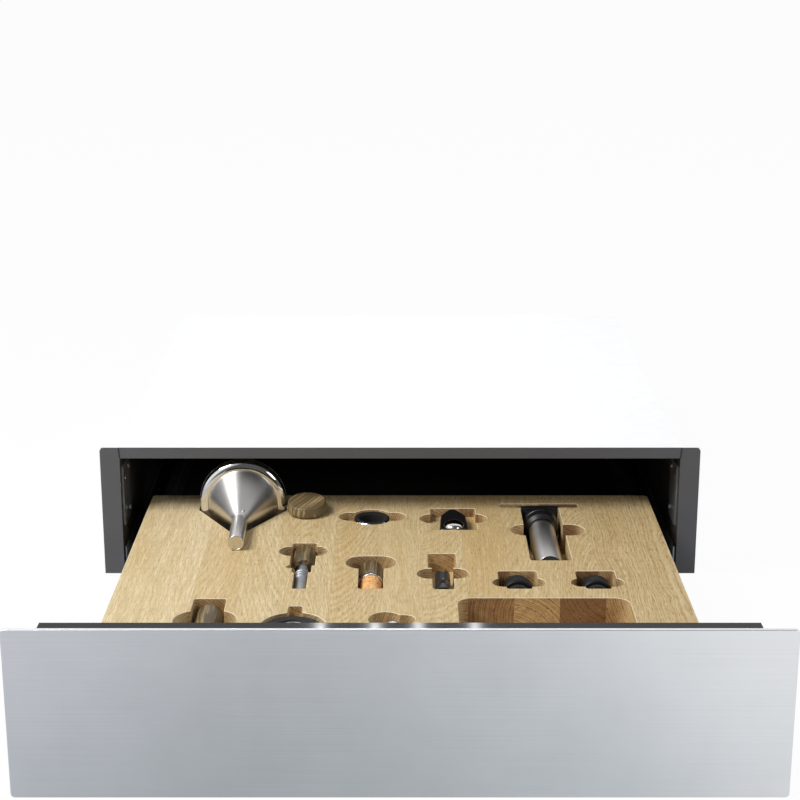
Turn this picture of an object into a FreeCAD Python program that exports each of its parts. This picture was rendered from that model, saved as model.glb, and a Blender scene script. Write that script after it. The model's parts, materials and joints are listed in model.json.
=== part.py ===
import FreeCAD, Part

# Built-in sommelier drawer: a sheet casing for a 60 cm niche, a full-extension drawer behind
# a push-open front plate, and an oak tray whose pockets hold loose wine tools.
# X runs to the right, Y into the cabinet, Z up. The origin is on the casing's underside, at the
# middle of its front frame. The model stands as in the photograph, with the drawer fully out.

import math
import os
import re

import Sketcher
from FreeCAD import Placement, Rotation, Vector

# Driving dimensions in millimetres, and angles in degrees.
SIZES = {
    # Casing and front
    "casing_width": 560, "casing_height": 134, "casing_depth": 527, "casing_sheet": 1,
    "frame_flange": 18.5, "frame_return": 8, "frame_chamfer": 3, "top_lip": 11, "bottom_lip": 4.5,
    "side_lip": 11, "rear_lip": 14, "rear_gap": 11.7, "wall_screw_first": 60, "wall_screw_pitch": 165,
    "rear_screw_low": 40, "rear_screw_high": 94, "plate_thick": 3, "plate_corner": 3.4,
    "plate_edge": 0.6, "plate_drop": 4.5, "plate_rise": 1.5, "gasket_thick": 2, "gasket_inset": 1.5,
    "carrier_side_gap": 6.5, "carrier_depth": 12, "carrier_shell": 1.5, "carrier_margin": 0.5,
    "core_gap": 0.3, "front_screw_pitch": 112.5, "front_screw_z": 18, "travel": 400, "push_gap": 3,
    "seat_gap": 0.3,
    # Drawer pan and tray; the tools' places along Y are counted from the tool line
    "slide_room": 30, "tray_overhang": 6, "tray_top": 65, "tray_thick": 34, "tray_corner": 4,
    "tray_chamfer": 0.4, "tool_line": 50.5, "pan_sheet": 1.2, "pan_flange": 23, "pan_rear_inset": 2,
    "pocket_corner": 3, "tray_screw_x": 225, "tray_screw_front": -370, "tray_screw_back": -60,
    # Slides, counted from the casing's middle outwards
    "slide_length": 400, "slide_setback": 5, "slide_height": 27, "slide_axis": 15, "slide_sheet": 1.2,
    "rail_lip": 9, "middle_web_gap": 1.2, "ball": 2.8, "ball_room": 0.1, "cage_sheet": 0.6, "cage_gap": 0.3,
    "cage_length": 190, "cage_start": 105, "cage_balls": 8, "bracket_sheet": 1.5,
    "bracket_low": 2, "bracket_high": 27,
    # Fixing plates and screws
    "fixing_front": 10, "fixing_back": 47, "fixing_low": 47, "fixing_high": 112, "fixing_sheet": 1.5,
    "fixing_corner": 3, "fixing_hole": 2.25, "fixing_hole_y": 20, "fixing_hole_pitch": 32,
    "plate_screw_y": 38.5, "plate_screw_pitch": 45, "fixing_mid": 80, "screw": 1.5, "screw_room": 0.1,
    "screw_head": 2.9, "screw_head_height": 1.8, "screw_length": 6, "screw_socket": 1,
    "screw_socket_depth": 0.9,
    # Push latch
    "latch_axis": 20, "latch_width": 24, "latch_height": 30, "latch_length": 56, "latch_front_wall": 4,
    "latch_bore": 5.2, "latch_rod": 3.5, "latch_shoulder": 4.9, "latch_shoulder_length": 17,
    "latch_tip": 5, "latch_tip_length": 3, "latch_room": 0.3, "latch_tip_reach": 7.5,
    "striker_thick": 2, "striker_width": 36, "striker_low": 11, "striker_high": 29,
    "striker_corner": 2, "striker_screw_inset": 6, "spring_wire": 0.9, "spring_radius": 3.8,
    "spring_turns": 7, "spring_gap": 0.1,
    # Funnel
    "funnel_x": -158, "funnel_y": 12.5, "funnel_rim": 43.7, "funnel_band": 2, "funnel_shoulder": 34.5,
    "funnel_shoulder_at": 10, "funnel_cone": 47, "funnel_spout": 7.5, "funnel_spout_length": 54,
    "funnel_wall": 1.1, "funnel_outlet": 8, "funnel_outlet_length": 12, "funnel_yaw": 1.4,
    "funnel_well": 89, "funnel_well_back": 30, "funnel_well_turn": 9.4, "funnel_well_front": -48,
    "funnel_well_nose": 17,
    # Stopper with a wooden disc on top
    "disc_x": -93.2, "disc_y": 1.3, "disc_rim": 20.2, "disc_top": 18.2, "disc_thick": 10.5,
    "disc_tilt": 7, "disc_plug": 9.5, "disc_plug_length": 27, "disc_ridge": 1.2, "disc_well": 15.5,
    # Drip ring
    "drip_x": -28, "drip_y": -10.5, "drip_radius": 18.2, "drip_height": 16, "drip_wall": 1.4,
    "drip_bore": 12, "drip_sunk": 0.2, "drip_room": 2.6, "drip_grip": 11.4, "drip_grip_y": -9,
    "drip_grip_left": -61, "drip_grip_right": 5.9,
    # Foil cutter
    "cutter_x": 53, "cutter_back": 12, "cutter_shoulder": -4, "cutter_front": -43, "cutter_back_width": 24,
    "cutter_front_width": 28.4, "cutter_height": 9, "cutter_sunk": 0.2, "cutter_dome": 10,
    "cutter_dome_height": 5, "cutter_dome_y": -33.4, "cutter_room": 8.4, "cutter_well_back": 13.3,
    "cutter_well_front": -44.5, "cutter_grip": 12.4, "cutter_grip_y": -14.5, "cutter_grip_width": 66.8,
    # Vacuum pump
    "pump_x": 141.2, "pump_radius": 13, "pump_wall": 1, "pump_sunk": 1, "pump_collar": 17.6,
    "pump_collar_back": 9, "pump_collar_front": -18, "pump_steel_front": -108, "pump_front": -118.5,
    "pump_seal": 12.6, "pump_rod": 4, "pump_rod_room": 0.3, "pump_bar_width": 58,
    "pump_bar_back": 24.5, "pump_bar_front": 17.5, "pump_bar_height": 27, "pump_bar_corner": 12.5,
    "pump_room": 1.8, "pump_well_front": -120.5, "pump_slot_width": 79.7, "pump_slot_back": 26,
    "pump_slot_front": 16, "pump_grip": 14.5, "pump_grip_y": -44.5, "pump_grip_left": 107.6,
    "pump_grip_right": 180.4,
    # Steel stopper with a wooden handle
    "steel_x": -90.6, "steel_back": -79.5, "steel_handle": 10.8, "steel_handle_front": -113.5,
    "steel_neck": 4.4, "steel_flange": 7.3, "steel_flange_back": -129.5, "steel_flange_front": -146,
    "steel_taper": 5.9, "steel_tip": 5.4, "steel_front": -183.5, "steel_sunk": 0.2, "steel_room": 1,
    "steel_well_back": -78.3, "steel_well_turn": -133, "steel_well_waist": -149,
    "steel_well_front": -185, "steel_waist_room": 1.6, "steel_nose_room": 0.6,
    "steel_grip": 11.5, "steel_grip_y": -97.8, "steel_grip_left": -114.3, "steel_grip_right": -68.1,
    "steel_nose": 2, "steel_nick": 8, "steel_nick_y": -134.8, "steel_nick_left": -105.3,
    # Cork stopper
    "cork_x": -26.5, "cork_head": 10.8, "cork_head_back": -117, "cork_head_front": -147,
    "cork_collar": 11, "cork_collar_front": -152.5, "cork_radius": 9.8, "cork_front": -179,
    "cork_sunk": 0.2, "cork_room": 0.6, "cork_well_back": -110, "cork_well_front": -184.8,
    "cork_grip": 15, "cork_grip_y": -125, "cork_grip_left": -50.4, "cork_grip_right": -3.4,
    # Pourer
    "pourer_x": 39.2, "pourer_back": -137, "pourer_front": -182, "pourer_back_radius": 7.2,
    "pourer_front_radius": 9.2, "pourer_bore": 4.5, "pourer_notch": 6, "pourer_sunk": 0.2,
    "pourer_room": 0.7,
    "pourer_well_back": -104, "pourer_well_turn": -138, "pourer_well_front": -186,
    "pourer_well_width": 26.7, "pourer_nose": 3.5, "pourer_grip": 11.5, "pourer_grip_y": -151,
    "pourer_grip_left": 15.2, "pourer_grip_right": 63,
    # Two vacuum stoppers
    "vacuum_left_x": 107.3, "vacuum_right_x": 178.4, "vacuum_body": 15, "vacuum_groove": 11,
    "vacuum_cap": 12.5, "vacuum_back": -149, "vacuum_body_front": -166, "vacuum_cap_back": -167.4,
    "vacuum_front": -176.5, "vacuum_socket": 8, "vacuum_socket_depth": 12, "vacuum_sunk": 0.8,
    "vacuum_room": 3, "vacuum_well_back": -145.3, "vacuum_well_turn": -178, "vacuum_well_front": -185,
    "vacuum_nose": 11.6, "vacuum_grip": 9.6, "vacuum_grip_y": -171, "vacuum_grip_width": 48,
    # Bottle opener with a wooden handle
    "opener_x": -167, "opener_back": -209, "opener_handle": 12, "opener_handle_front": -247,
    "opener_neck": 9.3, "opener_neck_front": -262, "opener_shaft": 5, "opener_shaft_front": -318,
    "opener_head_front": -372, "opener_head_width": 42, "opener_head_thick": 3, "opener_head_corner": 10,
    "opener_window": 30, "opener_window_front": -362, "opener_window_back": -336,
    "opener_window_corner": 6, "opener_sunk": 2, "opener_room": 2.4, "opener_well_back": -206.5,
    "opener_well_turn": -308, "opener_well_front": -375, "opener_head_room": 3, "opener_grip": 20,
    "opener_grip_y": -251, "opener_grip_width": 54.8,
    # Rubber bottle ring with a chrome liner
    "ring_x": -91, "ring_y": -263.5, "ring_radius": 27.3, "ring_liner": 14.2, "ring_bore": 12.4,
    "ring_height": 8, "ring_sunk": 2, "ring_room": 1.2, "ring_nick_width": 13, "ring_nick_back": -222,
    # Thermometer tube
    "tube_x": -6.4, "tube_back": -242, "tube_front": -360, "tube_radius": 8,
    "tube_sunk": 2, "tube_room": 1, "tube_well_front": -362, "tube_round_x": -12.3, "tube_round": 15,
    "tube_round_y": -249, "tube_nick_right": 13.2, "tube_nick": 9,
    # Large empty recess
    "recess_left": 50.5, "recess_right": 202.1, "recess_back": -205, "recess_front": -385,
    "recess_corner": 13, "recess_depth": 25,
}

# Lengths that follow from the driving ones.
CARRIER_BACK = "(-(travel + push_gap))"
CARRIER_FRONT = "(-(travel + push_gap + carrier_depth))"
PLATE_BACK = "(-(travel + push_gap + carrier_depth + gasket_thick))"
CARRIER_TOP = "(casing_height - carrier_margin)"
CARRIER_LOW = "carrier_margin"
PLATE_TOP = "(casing_height + plate_rise)"
FRAME_EDGE = "(casing_width / 2 + frame_flange)"
WALL = "(casing_width / 2 - casing_sheet)"
CARRIER_SIDE = f"({WALL} - carrier_side_gap)"
PAN_SIDE = f"({WALL} - slide_room)"
TRAY_SIDE = f"({PAN_SIDE} + tray_overhang)"
PAN_TOP = "(tray_top - tray_thick)"
PAN_LOW = "(tray_top - tray_thick - pan_sheet)"
LATCH_FRONT = "(casing_depth - casing_sheet - rear_gap - latch_length)"
PAN_BACK = f"({LATCH_FRONT} - latch_tip_reach - latch_room - striker_thick - travel)"
TRAY_FRONT = f"({CARRIER_BACK} + pan_sheet + seat_gap)"
TRAY_BACK = f"({PAN_BACK} + pan_rear_inset)"
TOOL_LINE = f"({TRAY_BACK} - tool_line)"
CABINET_WEB = f"({PAN_SIDE} + rail_lip + slide_sheet)"
MIDDLE_WEB = f"({CABINET_WEB} - slide_sheet - middle_web_gap)"
DRAWER_LIP = f"({MIDDLE_WEB} - slide_sheet - middle_web_gap)"
MIDDLE_INNER = f"({PAN_SIDE} + slide_sheet + ball_room * 4)"
MIDDLE_HEIGHT = "(slide_height - 2 * slide_sheet - 2 * ball - 4 * ball_room)"
INNER_HEIGHT = f"({MIDDLE_HEIGHT} - 2 * slide_sheet - 2 * ball - 4 * ball_room)"

doc = FreeCAD.newDocument("SommelierDrawer")
sheet = doc.addObject("Spreadsheet::Sheet", "Sizes")
for row, (alias, value) in enumerate(SIZES.items(), start=1):
    sheet.set(f"A{row}", alias)
    sheet.set(f"B{row}", str(value))
    sheet.setAlias(f"B{row}", alias)
doc.recompute()

nodes = []


def bind(text):
    """Turn the size names in an expression into references to the sheet's cells."""
    return re.sub(r"[a-z_]+", lambda m: "Sizes." + m[0] if m[0] in SIZES else m[0], str(text))


def num(text):
    """The value of an expression in the sheet's sizes."""
    return float(sheet.evalExpression(bind(text)))


def bound(obj, **properties):
    """Bind properties of an object to expressions in the sheet's sizes."""
    for name, text in properties.items():
        obj.setExpression(name, bind(text))
    return obj


def place(obj, at=("0", "0", "0"), rotation=None):
    """Set an object's turn, and bind its position to three expressions."""
    obj.Placement = Placement(Vector(*[num(text) for text in at]), rotation or Rotation())
    for axis, text in zip("xyz", at):
        obj.setExpression(f"Placement.Base.{axis}", bind(text))
    return obj


def node(obj, label):
    """Name a sub-part and keep it for export."""
    obj.Label = label
    nodes.append(obj)
    return obj


def new_body(label, at=("0", "0", "0"), rotation=None):
    return place(node(doc.addObject("PartDesign::Body", "Body"), label), at, rotation)


def new_sketch(body, plane="XY", offset="0"):
    """A sketch on one of the body's own planes, lifted along the plane's normal."""
    sketch = body.newObject("Sketcher::SketchObject", "Sketch")
    for feature in body.Origin.OriginFeatures:
        if feature.Role == f"{plane}_Plane":
            sketch.AttachmentSupport = [(feature, "")]
    sketch.MapMode = "FlatFace"
    bound(sketch, **{".AttachmentOffset.Base.z": offset})
    return sketch


def constrain(sketch, constraints, bindings):
    """Add constraints, and bind those that have an expression."""
    first = sketch.ConstraintCount
    sketch.addConstraint(constraints)
    for index, text in bindings.items():
        sketch.setExpression(f"Constraints[{first + index}]", bind(text))


def polygon(sketch, points):
    """A closed outline of straight lines, every corner bound to two expressions."""
    corners = [Vector(num(x), num(y), 0) for x, y in points]
    count = len(corners)
    first = sketch.GeometryCount
    lines = [Part.LineSegment(corners[i], corners[(i + 1) % count]) for i in range(count)]
    sketch.addGeometry(lines, False)
    constraints = [Sketcher.Constraint("Coincident", first + i, 2, first + (i + 1) % count, 1)
                   for i in range(count)]
    bindings = {}
    for i, (corner, (x, y)) in enumerate(zip(corners, points)):
        for kind, length, text in (("DistanceX", corner.x, x), ("DistanceY", corner.y, y)):
            bindings[len(constraints)] = text
            constraints.append(Sketcher.Constraint(kind, -1, 1, first + i, 1, length))
    constrain(sketch, constraints, bindings)
    return sketch


def rounded(sketch, left, right, low, high, radius):
    """A rectangle with four round corners."""
    x0, x1, y0, y1, r = (num(text) for text in (left, right, low, high, radius))
    starts = [Vector(x0 + r, y0, 0), Vector(x1, y0 + r, 0), Vector(x1 - r, y1, 0), Vector(x0, y1 - r, 0)]
    ends = [Vector(x1 - r, y0, 0), Vector(x1, y1 - r, 0), Vector(x0 + r, y1, 0), Vector(x0, y0 + r, 0)]
    centres = [Vector(x1 - r, y0 + r, 0), Vector(x1 - r, y1 - r, 0), Vector(x0 + r, y1 - r, 0),
               Vector(x0 + r, y0 + r, 0)]
    first = sketch.GeometryCount
    shapes = []
    for i in range(4):
        shapes.append(Part.LineSegment(starts[i], ends[i]))
        circle = Part.Circle(centres[i], Vector(0, 0, 1), r)
        shapes.append(Part.ArcOfCircle(circle, (i - 1) * math.pi / 2, i * math.pi / 2))
    sketch.addGeometry(shapes, False)
    constraints = []
    for i in range(4):
        line, arc, after = first + 2 * i, first + 2 * i + 1, first + (2 * i + 2) % 8
        constraints.append(Sketcher.Constraint("Tangent", line, 2, arc, 1))
        constraints.append(Sketcher.Constraint("Tangent", arc, 2, after, 1))
    for i in range(4):
        constraints.append(Sketcher.Constraint(("Horizontal", "Vertical")[i % 2], first + 2 * i))
    for i in range(1, 4):
        constraints.append(Sketcher.Constraint("Equal", first + 1, first + 2 * i + 1))
    bindings = {}
    for kind, line, length, text in (("DistanceY", 0, y0, low), ("DistanceX", 2, x1, right),
                                     ("DistanceY", 4, y1, high), ("DistanceX", 6, x0, left)):
        bindings[len(constraints)] = text
        constraints.append(Sketcher.Constraint(kind, -1, 1, first + line, 1, length))
    bindings[len(constraints)] = radius
    constraints.append(Sketcher.Constraint("Radius", first + 1, r))
    constrain(sketch, constraints, bindings)
    return sketch


def obround(sketch, left, right, mid, radius):
    """A slot with half-round ends, lying along the sketch's X axis."""
    x0, x1, y, r = (num(text) for text in (left, right, mid, radius))
    first = sketch.GeometryCount
    near, far = Vector(x0 + r, y, 0), Vector(x1 - r, y, 0)
    up = Vector(0, r, 0)
    sketch.addGeometry([
        Part.LineSegment(near - up, far - up),
        Part.ArcOfCircle(Part.Circle(far, Vector(0, 0, 1), r), -math.pi / 2, math.pi / 2),
        Part.LineSegment(far + up, near + up),
        Part.ArcOfCircle(Part.Circle(near, Vector(0, 0, 1), r), math.pi / 2, 3 * math.pi / 2),
    ], False)
    constraints = []
    for i in range(4):
        constraints.append(Sketcher.Constraint("Tangent", first + i, 2, first + (i + 1) % 4, 1))
    constraints.append(Sketcher.Constraint("Horizontal", first))
    bindings = {5: f"{left} + {radius}", 6: f"{right} - {radius}", 7: mid, 8: radius}
    constraints.append(Sketcher.Constraint("DistanceX", -1, 1, first + 3, 3, near.x))
    constraints.append(Sketcher.Constraint("DistanceX", -1, 1, first + 1, 3, far.x))
    constraints.append(Sketcher.Constraint("DistanceY", -1, 1, first + 1, 3, y))
    constraints.append(Sketcher.Constraint("Radius", first + 1, r))
    constrain(sketch, constraints, bindings)
    return sketch


def circle(sketch, x, y, radius):
    first = sketch.GeometryCount
    centre = Vector(num(x), num(y), 0)
    sketch.addGeometry(Part.Circle(centre, Vector(0, 0, 1), num(radius)), False)
    constrain(sketch, [Sketcher.Constraint("DistanceX", -1, 1, first, 3, centre.x),
                       Sketcher.Constraint("DistanceY", -1, 1, first, 3, centre.y),
                       Sketcher.Constraint("Radius", first, num(radius))], {0: x, 1: y, 2: radius})
    return sketch


def pad(body, sketch, length, backwards=False):
    feature = body.newObject("PartDesign::Pad", "Pad")
    feature.Profile = sketch
    feature.Reversed = backwards
    return bound(feature, Length=length)


def pocket(body, sketch, depth, backwards=False, both=False):
    feature = body.newObject("PartDesign::Pocket", "Pocket")
    feature.Profile = sketch
    feature.Reversed = backwards
    feature.Midplane = both
    return bound(feature, Length=depth)


def ease(body, feature, kind, size, wanted):
    """Round or chamfer those edges of a body's last feature that a test picks."""
    doc.recompute()
    names = [f"Edge{index}" for index, edge in enumerate(feature.Shape.Edges, start=1) if wanted(edge)]
    easing = body.newObject(f"PartDesign::{kind}", kind)
    easing.Base = (feature, names)
    key = "Radius" if kind == "Fillet" else "Size"
    return bound(easing, **{key: size})


def turned(label, profile, at, rotation=None):
    """A turned piece: its profile is (radius, place along Y) and it turns about local Y."""
    body = new_body(label, at, rotation)
    feature = body.newObject("PartDesign::Revolution", "Revolution")
    sketch = polygon(new_sketch(body), profile)
    feature.Profile = sketch
    feature.ReferenceAxis = (sketch, ["V_Axis"])
    feature.Angle = 360
    return body


def upright(label, profile, at, tilt=0):
    """A turned piece that stands up: its profile is (radius, height) and it turns about Z."""
    return turned(label, profile, at, Rotation(Vector(1, 0, 0), 90 + tilt))


def side_name(side):
    return "left" if side < 0 else "right"


def casing_side(side):
    """One side wall, bent out into the front frame's flange and back into a short return."""
    body = new_body(f"casing_{side_name(side)}_side")
    outer, edge = "casing_width / 2", FRAME_EDGE
    plan = [(WALL, "0"), (edge, "0"), (edge, "frame_return"),
            (f"{edge} - casing_sheet", "frame_return"), (f"{edge} - casing_sheet", "casing_sheet"),
            (outer, "casing_sheet"), (outer, "casing_depth"), (WALL, "casing_depth")]
    pad(body, polygon(new_sketch(body), [(f"{side} * ({x})", y) for x, y in plan]), "casing_height")
    corner = polygon(new_sketch(body, "XZ"), [
        (f"{side} * {edge}", "casing_height"),
        (f"{side} * ({edge} - frame_chamfer)", "casing_height"),
        (f"{side} * {edge}", "casing_height - frame_chamfer")])
    pocket(body, corner, "2 * frame_return + 1", both=True)
    holes = new_sketch(body, "YZ", f"{side} * casing_width / 2")
    for y, z in wall_screws() + plate_screws():
        circle(holes, y, z, "screw + screw_room")
    for z in fixing_heights():
        circle(holes, "fixing_hole_y", z, "fixing_hole")
    pocket(body, holes, "4 * casing_sheet", both=True)


def wall_screws():
    """Places (Y, Z) of the screws through a side wall into the lips and the slide bracket."""
    high = "casing_height - casing_sheet - side_lip / 2"
    low = "casing_sheet + side_lip / 2"
    places = [f"wall_screw_first + {index} * wall_screw_pitch" for index in range(3)]
    rows = [(y, z) for z in (high, low) for y in places]
    return rows + [("casing_depth - rear_lip / 2", z) for z in ("rear_screw_low", "rear_screw_high")]


def plate_screws():
    """Places (Y, Z) of the screws that hold a fixing plate on its wall."""
    return [("plate_screw_y", f"fixing_mid + {end} * plate_screw_pitch / 2") for end in (-1, 1)]


def fixing_heights():
    """Heights of the two open holes that fix the casing in its niche."""
    return [f"fixing_mid + {end} * fixing_hole_pitch / 2" for end in (-1, 1)]


def lipped_sheet(label, outline, lip_low, lip_high, rows):
    """A sheet that runs back from the front, with a lip down or up at each side and the front."""
    body = new_body(label)
    profile = polygon(new_sketch(body, "XZ", "-casing_sheet"), outline)
    pad(body, profile, "casing_depth - 2 * casing_sheet", backwards=True)
    front = polygon(new_sketch(body, "XZ"), [(f"-{WALL}", lip_low), (WALL, lip_low), (WALL, lip_high),
                                             (f"-{WALL}", lip_high)])
    pad(body, front, "casing_sheet", backwards=True)
    holes = new_sketch(body, "YZ")
    for y, z in rows:
        circle(holes, y, z, "screw + screw_room")
    pocket(body, holes, "casing_width", both=True)


def casing_sheets():
    top, inner = "casing_height", f"({WALL} - casing_sheet)"
    under, lip = "(casing_height - casing_sheet)", "(casing_height - casing_sheet - side_lip)"
    lipped_sheet("casing_top", [
        (f"-{WALL}", top), (f"-{WALL}", lip), (f"-{inner}", lip), (f"-{inner}", under),
        (inner, under), (inner, lip), (WALL, lip), (WALL, top)],
        "casing_height - top_lip", top, wall_screws()[:3])
    over, lip = "casing_sheet", "(casing_sheet + side_lip)"
    lipped_sheet("casing_bottom", [
        (f"-{WALL}", "0"), (WALL, "0"), (WALL, lip), (inner, lip), (inner, over),
        (f"-{inner}", over), (f"-{inner}", lip), (f"-{WALL}", lip)],
        "0", "bottom_lip", wall_screws()[3:6])


def casing_rear():
    """The rear sheet, with a lip forward at each side that screws to the walls."""
    body = new_body("casing_rear")
    low, high = "2 * casing_sheet + side_lip", "casing_height - 2 * casing_sheet - side_lip"
    face = polygon(new_sketch(body, "XZ", "-casing_depth"), [
        (f"-{WALL}", "0"), (WALL, "0"), (WALL, "casing_height"), (f"-{WALL}", "casing_height")])
    pad(body, face, "casing_sheet")
    for side in (-1, 1):
        lip = polygon(new_sketch(body, "XZ", "-casing_depth"), [
            (f"{side} * {WALL}", low), (f"{side} * ({WALL} - casing_sheet)", low),
            (f"{side} * ({WALL} - casing_sheet)", high), (f"{side} * {WALL}", high)])
        pad(body, lip, "rear_lip")
    holes = new_sketch(body, "YZ")
    for y, z in wall_screws()[6:]:
        circle(holes, y, z, "screw + screw_room")
    pocket(body, holes, "casing_width", both=True)


def fixing_plate(side):
    """The plate on each wall that takes the screws into the furniture's side panel."""
    body = new_body(f"fixing_plate_{side_name(side)}")
    face = new_sketch(body, "YZ", f"{side} * {WALL}")
    rounded(face, "fixing_front", "fixing_back", "fixing_low", "fixing_high", "fixing_corner")
    for y, z in plate_screws():
        circle(face, y, z, "screw + screw_room")
    for z in fixing_heights():
        circle(face, "fixing_hole_y", z, "fixing_hole")
    pad(body, face, "fixing_sheet", backwards=side > 0)


def slide_bracket(side):
    """A U-shaped bracket that carries the cabinet rail and screws to the side wall."""
    body = new_body(f"slide_{side_name(side)}_bracket")
    inner = f"({WALL} - casing_sheet)"
    outline = [(CABINET_WEB, "bracket_low"), (inner, "bracket_low"), (inner, "bracket_high"),
               (f"{inner} - bracket_sheet", "bracket_high"),
               (f"{inner} - bracket_sheet", "bracket_low + bracket_sheet"),
               (f"{CABINET_WEB} + bracket_sheet", "bracket_low + bracket_sheet"),
               (f"{CABINET_WEB} + bracket_sheet", "bracket_high"), (CABINET_WEB, "bracket_high")]
    profile = new_sketch(body, "XZ", "-slide_setback")
    polygon(profile, [(f"{side} * ({x})", z) for x, z in outline])
    pad(body, profile, "slide_length", backwards=True)
    holes = new_sketch(body, "YZ")
    for y, z in wall_screws()[3:6]:
        circle(holes, y, z, "screw + screw_room")
    for y in rail_screw_places():
        circle(holes, y, "slide_axis", "screw + screw_room")
    pocket(body, holes, "casing_width", both=True)


def rail_screw_places():
    return [f"slide_setback + {share} * slide_length" for share in ("0.1", "0.5", "0.9")]


def channel(label, side, web, inner, height, start, screw_shift=None):
    """A rail of C section: the web stands at one X and the lips reach to another."""
    body = new_body(label)
    low, high = f"slide_axis - {height} / 2", f"slide_axis + {height} / 2"
    turn = 1 if num(web) > num(inner) else -1
    face = f"({web} - {turn} * slide_sheet)"
    outline = [(web, low), (web, high), (inner, high), (inner, f"{high} - slide_sheet"),
               (face, f"{high} - slide_sheet"), (face, f"{low} + slide_sheet"),
               (inner, f"{low} + slide_sheet"), (inner, low)]
    profile = new_sketch(body, "XZ", f"-({start})")
    polygon(profile, [(f"{side} * {x}", z) for x, z in outline])
    pad(body, profile, "slide_length", backwards=True)
    if screw_shift is not None:
        holes = new_sketch(body, "YZ")
        for y in rail_screw_places():
            circle(holes, f"{y} + {screw_shift}", "slide_axis", "screw + screw_room")
        pocket(body, holes, "casing_width", both=True)


def ball_cage(label, side, web, height, ball_x, start):
    """A bent strip that spaces two rows of balls between neighbouring rails."""
    x_web, x_ball = num(web), num(ball_x)
    half, thick, axis = num(height) / 2, num("cage_sheet"), num("slide_axis")
    length, y0, ball = num("cage_length"), num(start), num("ball") / 2
    reach = x_ball - ball - num("ball_room")
    strip = Part.makeBox(thick, length, 2 * half + thick, Vector(x_web, y0, axis - half - thick / 2))
    for z in (axis - half, axis + half):
        lip = Part.makeBox(x_web - reach, length, thick, Vector(reach, y0, z - thick / 2))
        strip = strip.fuse(lip)
    pitch = length / num("cage_balls")
    for z in (axis - half, axis + half):
        for index in range(round(num("cage_balls"))):
            strip = strip.fuse(Part.makeSphere(ball, Vector(x_ball, y0 + (index + 0.5) * pitch, z)))
    if side < 0:
        strip = strip.mirror(Vector(0, 0, 0), Vector(1, 0, 0))
    feature = node(doc.addObject("Part::Feature", "Cage"), label)
    feature.Shape = strip


def slides():
    """Two telescopic slides: cabinet, middle and drawer rails with a ball cage in each gap."""
    outer_row = f"({MIDDLE_HEIGHT} + ball + 2 * ball_room)"
    inner_row = f"({INNER_HEIGHT} + ball + 2 * ball_room)"
    for side in (-1, 1):
        name = f"slide_{side_name(side)}"
        channel(f"{name}_cabinet_rail", side, CABINET_WEB, f"({PAN_SIDE} + slide_sheet)",
                "slide_height", "slide_setback", "0")
        channel(f"{name}_middle_rail", side, MIDDLE_WEB, MIDDLE_INNER, MIDDLE_HEIGHT,
                "slide_setback - travel / 2")
        channel(f"{name}_drawer_rail", side, PAN_SIDE, DRAWER_LIP, INNER_HEIGHT,
                "slide_setback - travel", "-travel")
        ball_cage(f"{name}_outer_cage", side, f"{MIDDLE_WEB} + cage_gap", outer_row,
                  f"({MIDDLE_INNER} + {MIDDLE_WEB}) / 2", "slide_setback + cage_start - travel / 4")
        ball_cage(f"{name}_inner_cage", side, f"{DRAWER_LIP} + cage_gap", inner_row,
                  f"({PAN_SIDE} + slide_sheet + {DRAWER_LIP}) / 2",
                  "slide_setback + cage_start - travel * 3 / 4")
        slide_bracket(side)


def latch():
    """The push latch on the casing's floor: body, sprung plunger with magnet tip, and spring."""
    body = new_body("latch_housing")
    face = polygon(new_sketch(body, "XZ", f"-{LATCH_FRONT}"), [
        ("-latch_width / 2", "casing_sheet"), ("latch_width / 2", "casing_sheet"),
        ("latch_width / 2", "latch_height"), ("-latch_width / 2", "latch_height")])
    pad(body, face, "latch_length", backwards=True)
    mouth = circle(new_sketch(body, "XZ", f"-{LATCH_FRONT}"), "0", "latch_axis", "latch_rod + latch_room")
    pocket(body, mouth, "latch_front_wall + 1", backwards=False)
    chamber = new_sketch(body, "XZ", f"-({LATCH_FRONT} + latch_front_wall)")
    circle(chamber, "0", "latch_axis", "latch_bore")
    pocket(body, chamber, "latch_length - 2 * latch_front_wall")
    tip = "(-latch_tip_reach)"
    shoulder = "(latch_front_wall + latch_room)"
    back = f"({shoulder} + latch_shoulder_length)"
    turned("latch_plunger", [
        ("0", tip), ("latch_tip", tip), ("latch_tip", f"{tip} + latch_tip_length"),
        ("latch_rod", f"{tip} + latch_tip_length"), ("latch_rod", shoulder),
        ("latch_shoulder", shoulder), ("latch_shoulder", back), ("0", back)],
        ("0", LATCH_FRONT, "latch_axis"))
    start = num(f"{LATCH_FRONT} + {back} + spring_wire / 2 + spring_gap")
    end = num(f"{LATCH_FRONT} + latch_length - latch_front_wall - spring_wire / 2 - spring_gap")
    spring = node(doc.addObject("Part::Feature", "Spring"), "latch_spring")
    spring.Shape = coil(num("spring_radius"), num("spring_wire") / 2, num("spring_turns"), end - start)
    spring.Placement = Placement(Vector(0, start, num("latch_axis")), Rotation(Vector(1, 0, 0), -90))


def coil(radius, wire, turns, length):
    """A round-wire helix about Z, on two tangent arcs for each quarter turn."""
    quarters = round(4 * turns)
    rise = length / (turns * 2 * math.pi)
    angles = [index * math.pi / 2 for index in range(quarters + 1)]
    points = [Vector(radius * math.cos(a), radius * math.sin(a), rise * a) for a in angles]
    ways = [Vector(-radius * math.sin(a), radius * math.cos(a), rise).normalize() for a in angles]
    arcs = []
    for index in range(quarters):
        arcs += biarc(points[index], ways[index], points[index + 1], ways[index + 1])
    section = Part.Wire(Part.makeCircle(wire, points[0], ways[0]))
    return Part.Wire(arcs).makePipeShell([section], True)


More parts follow.
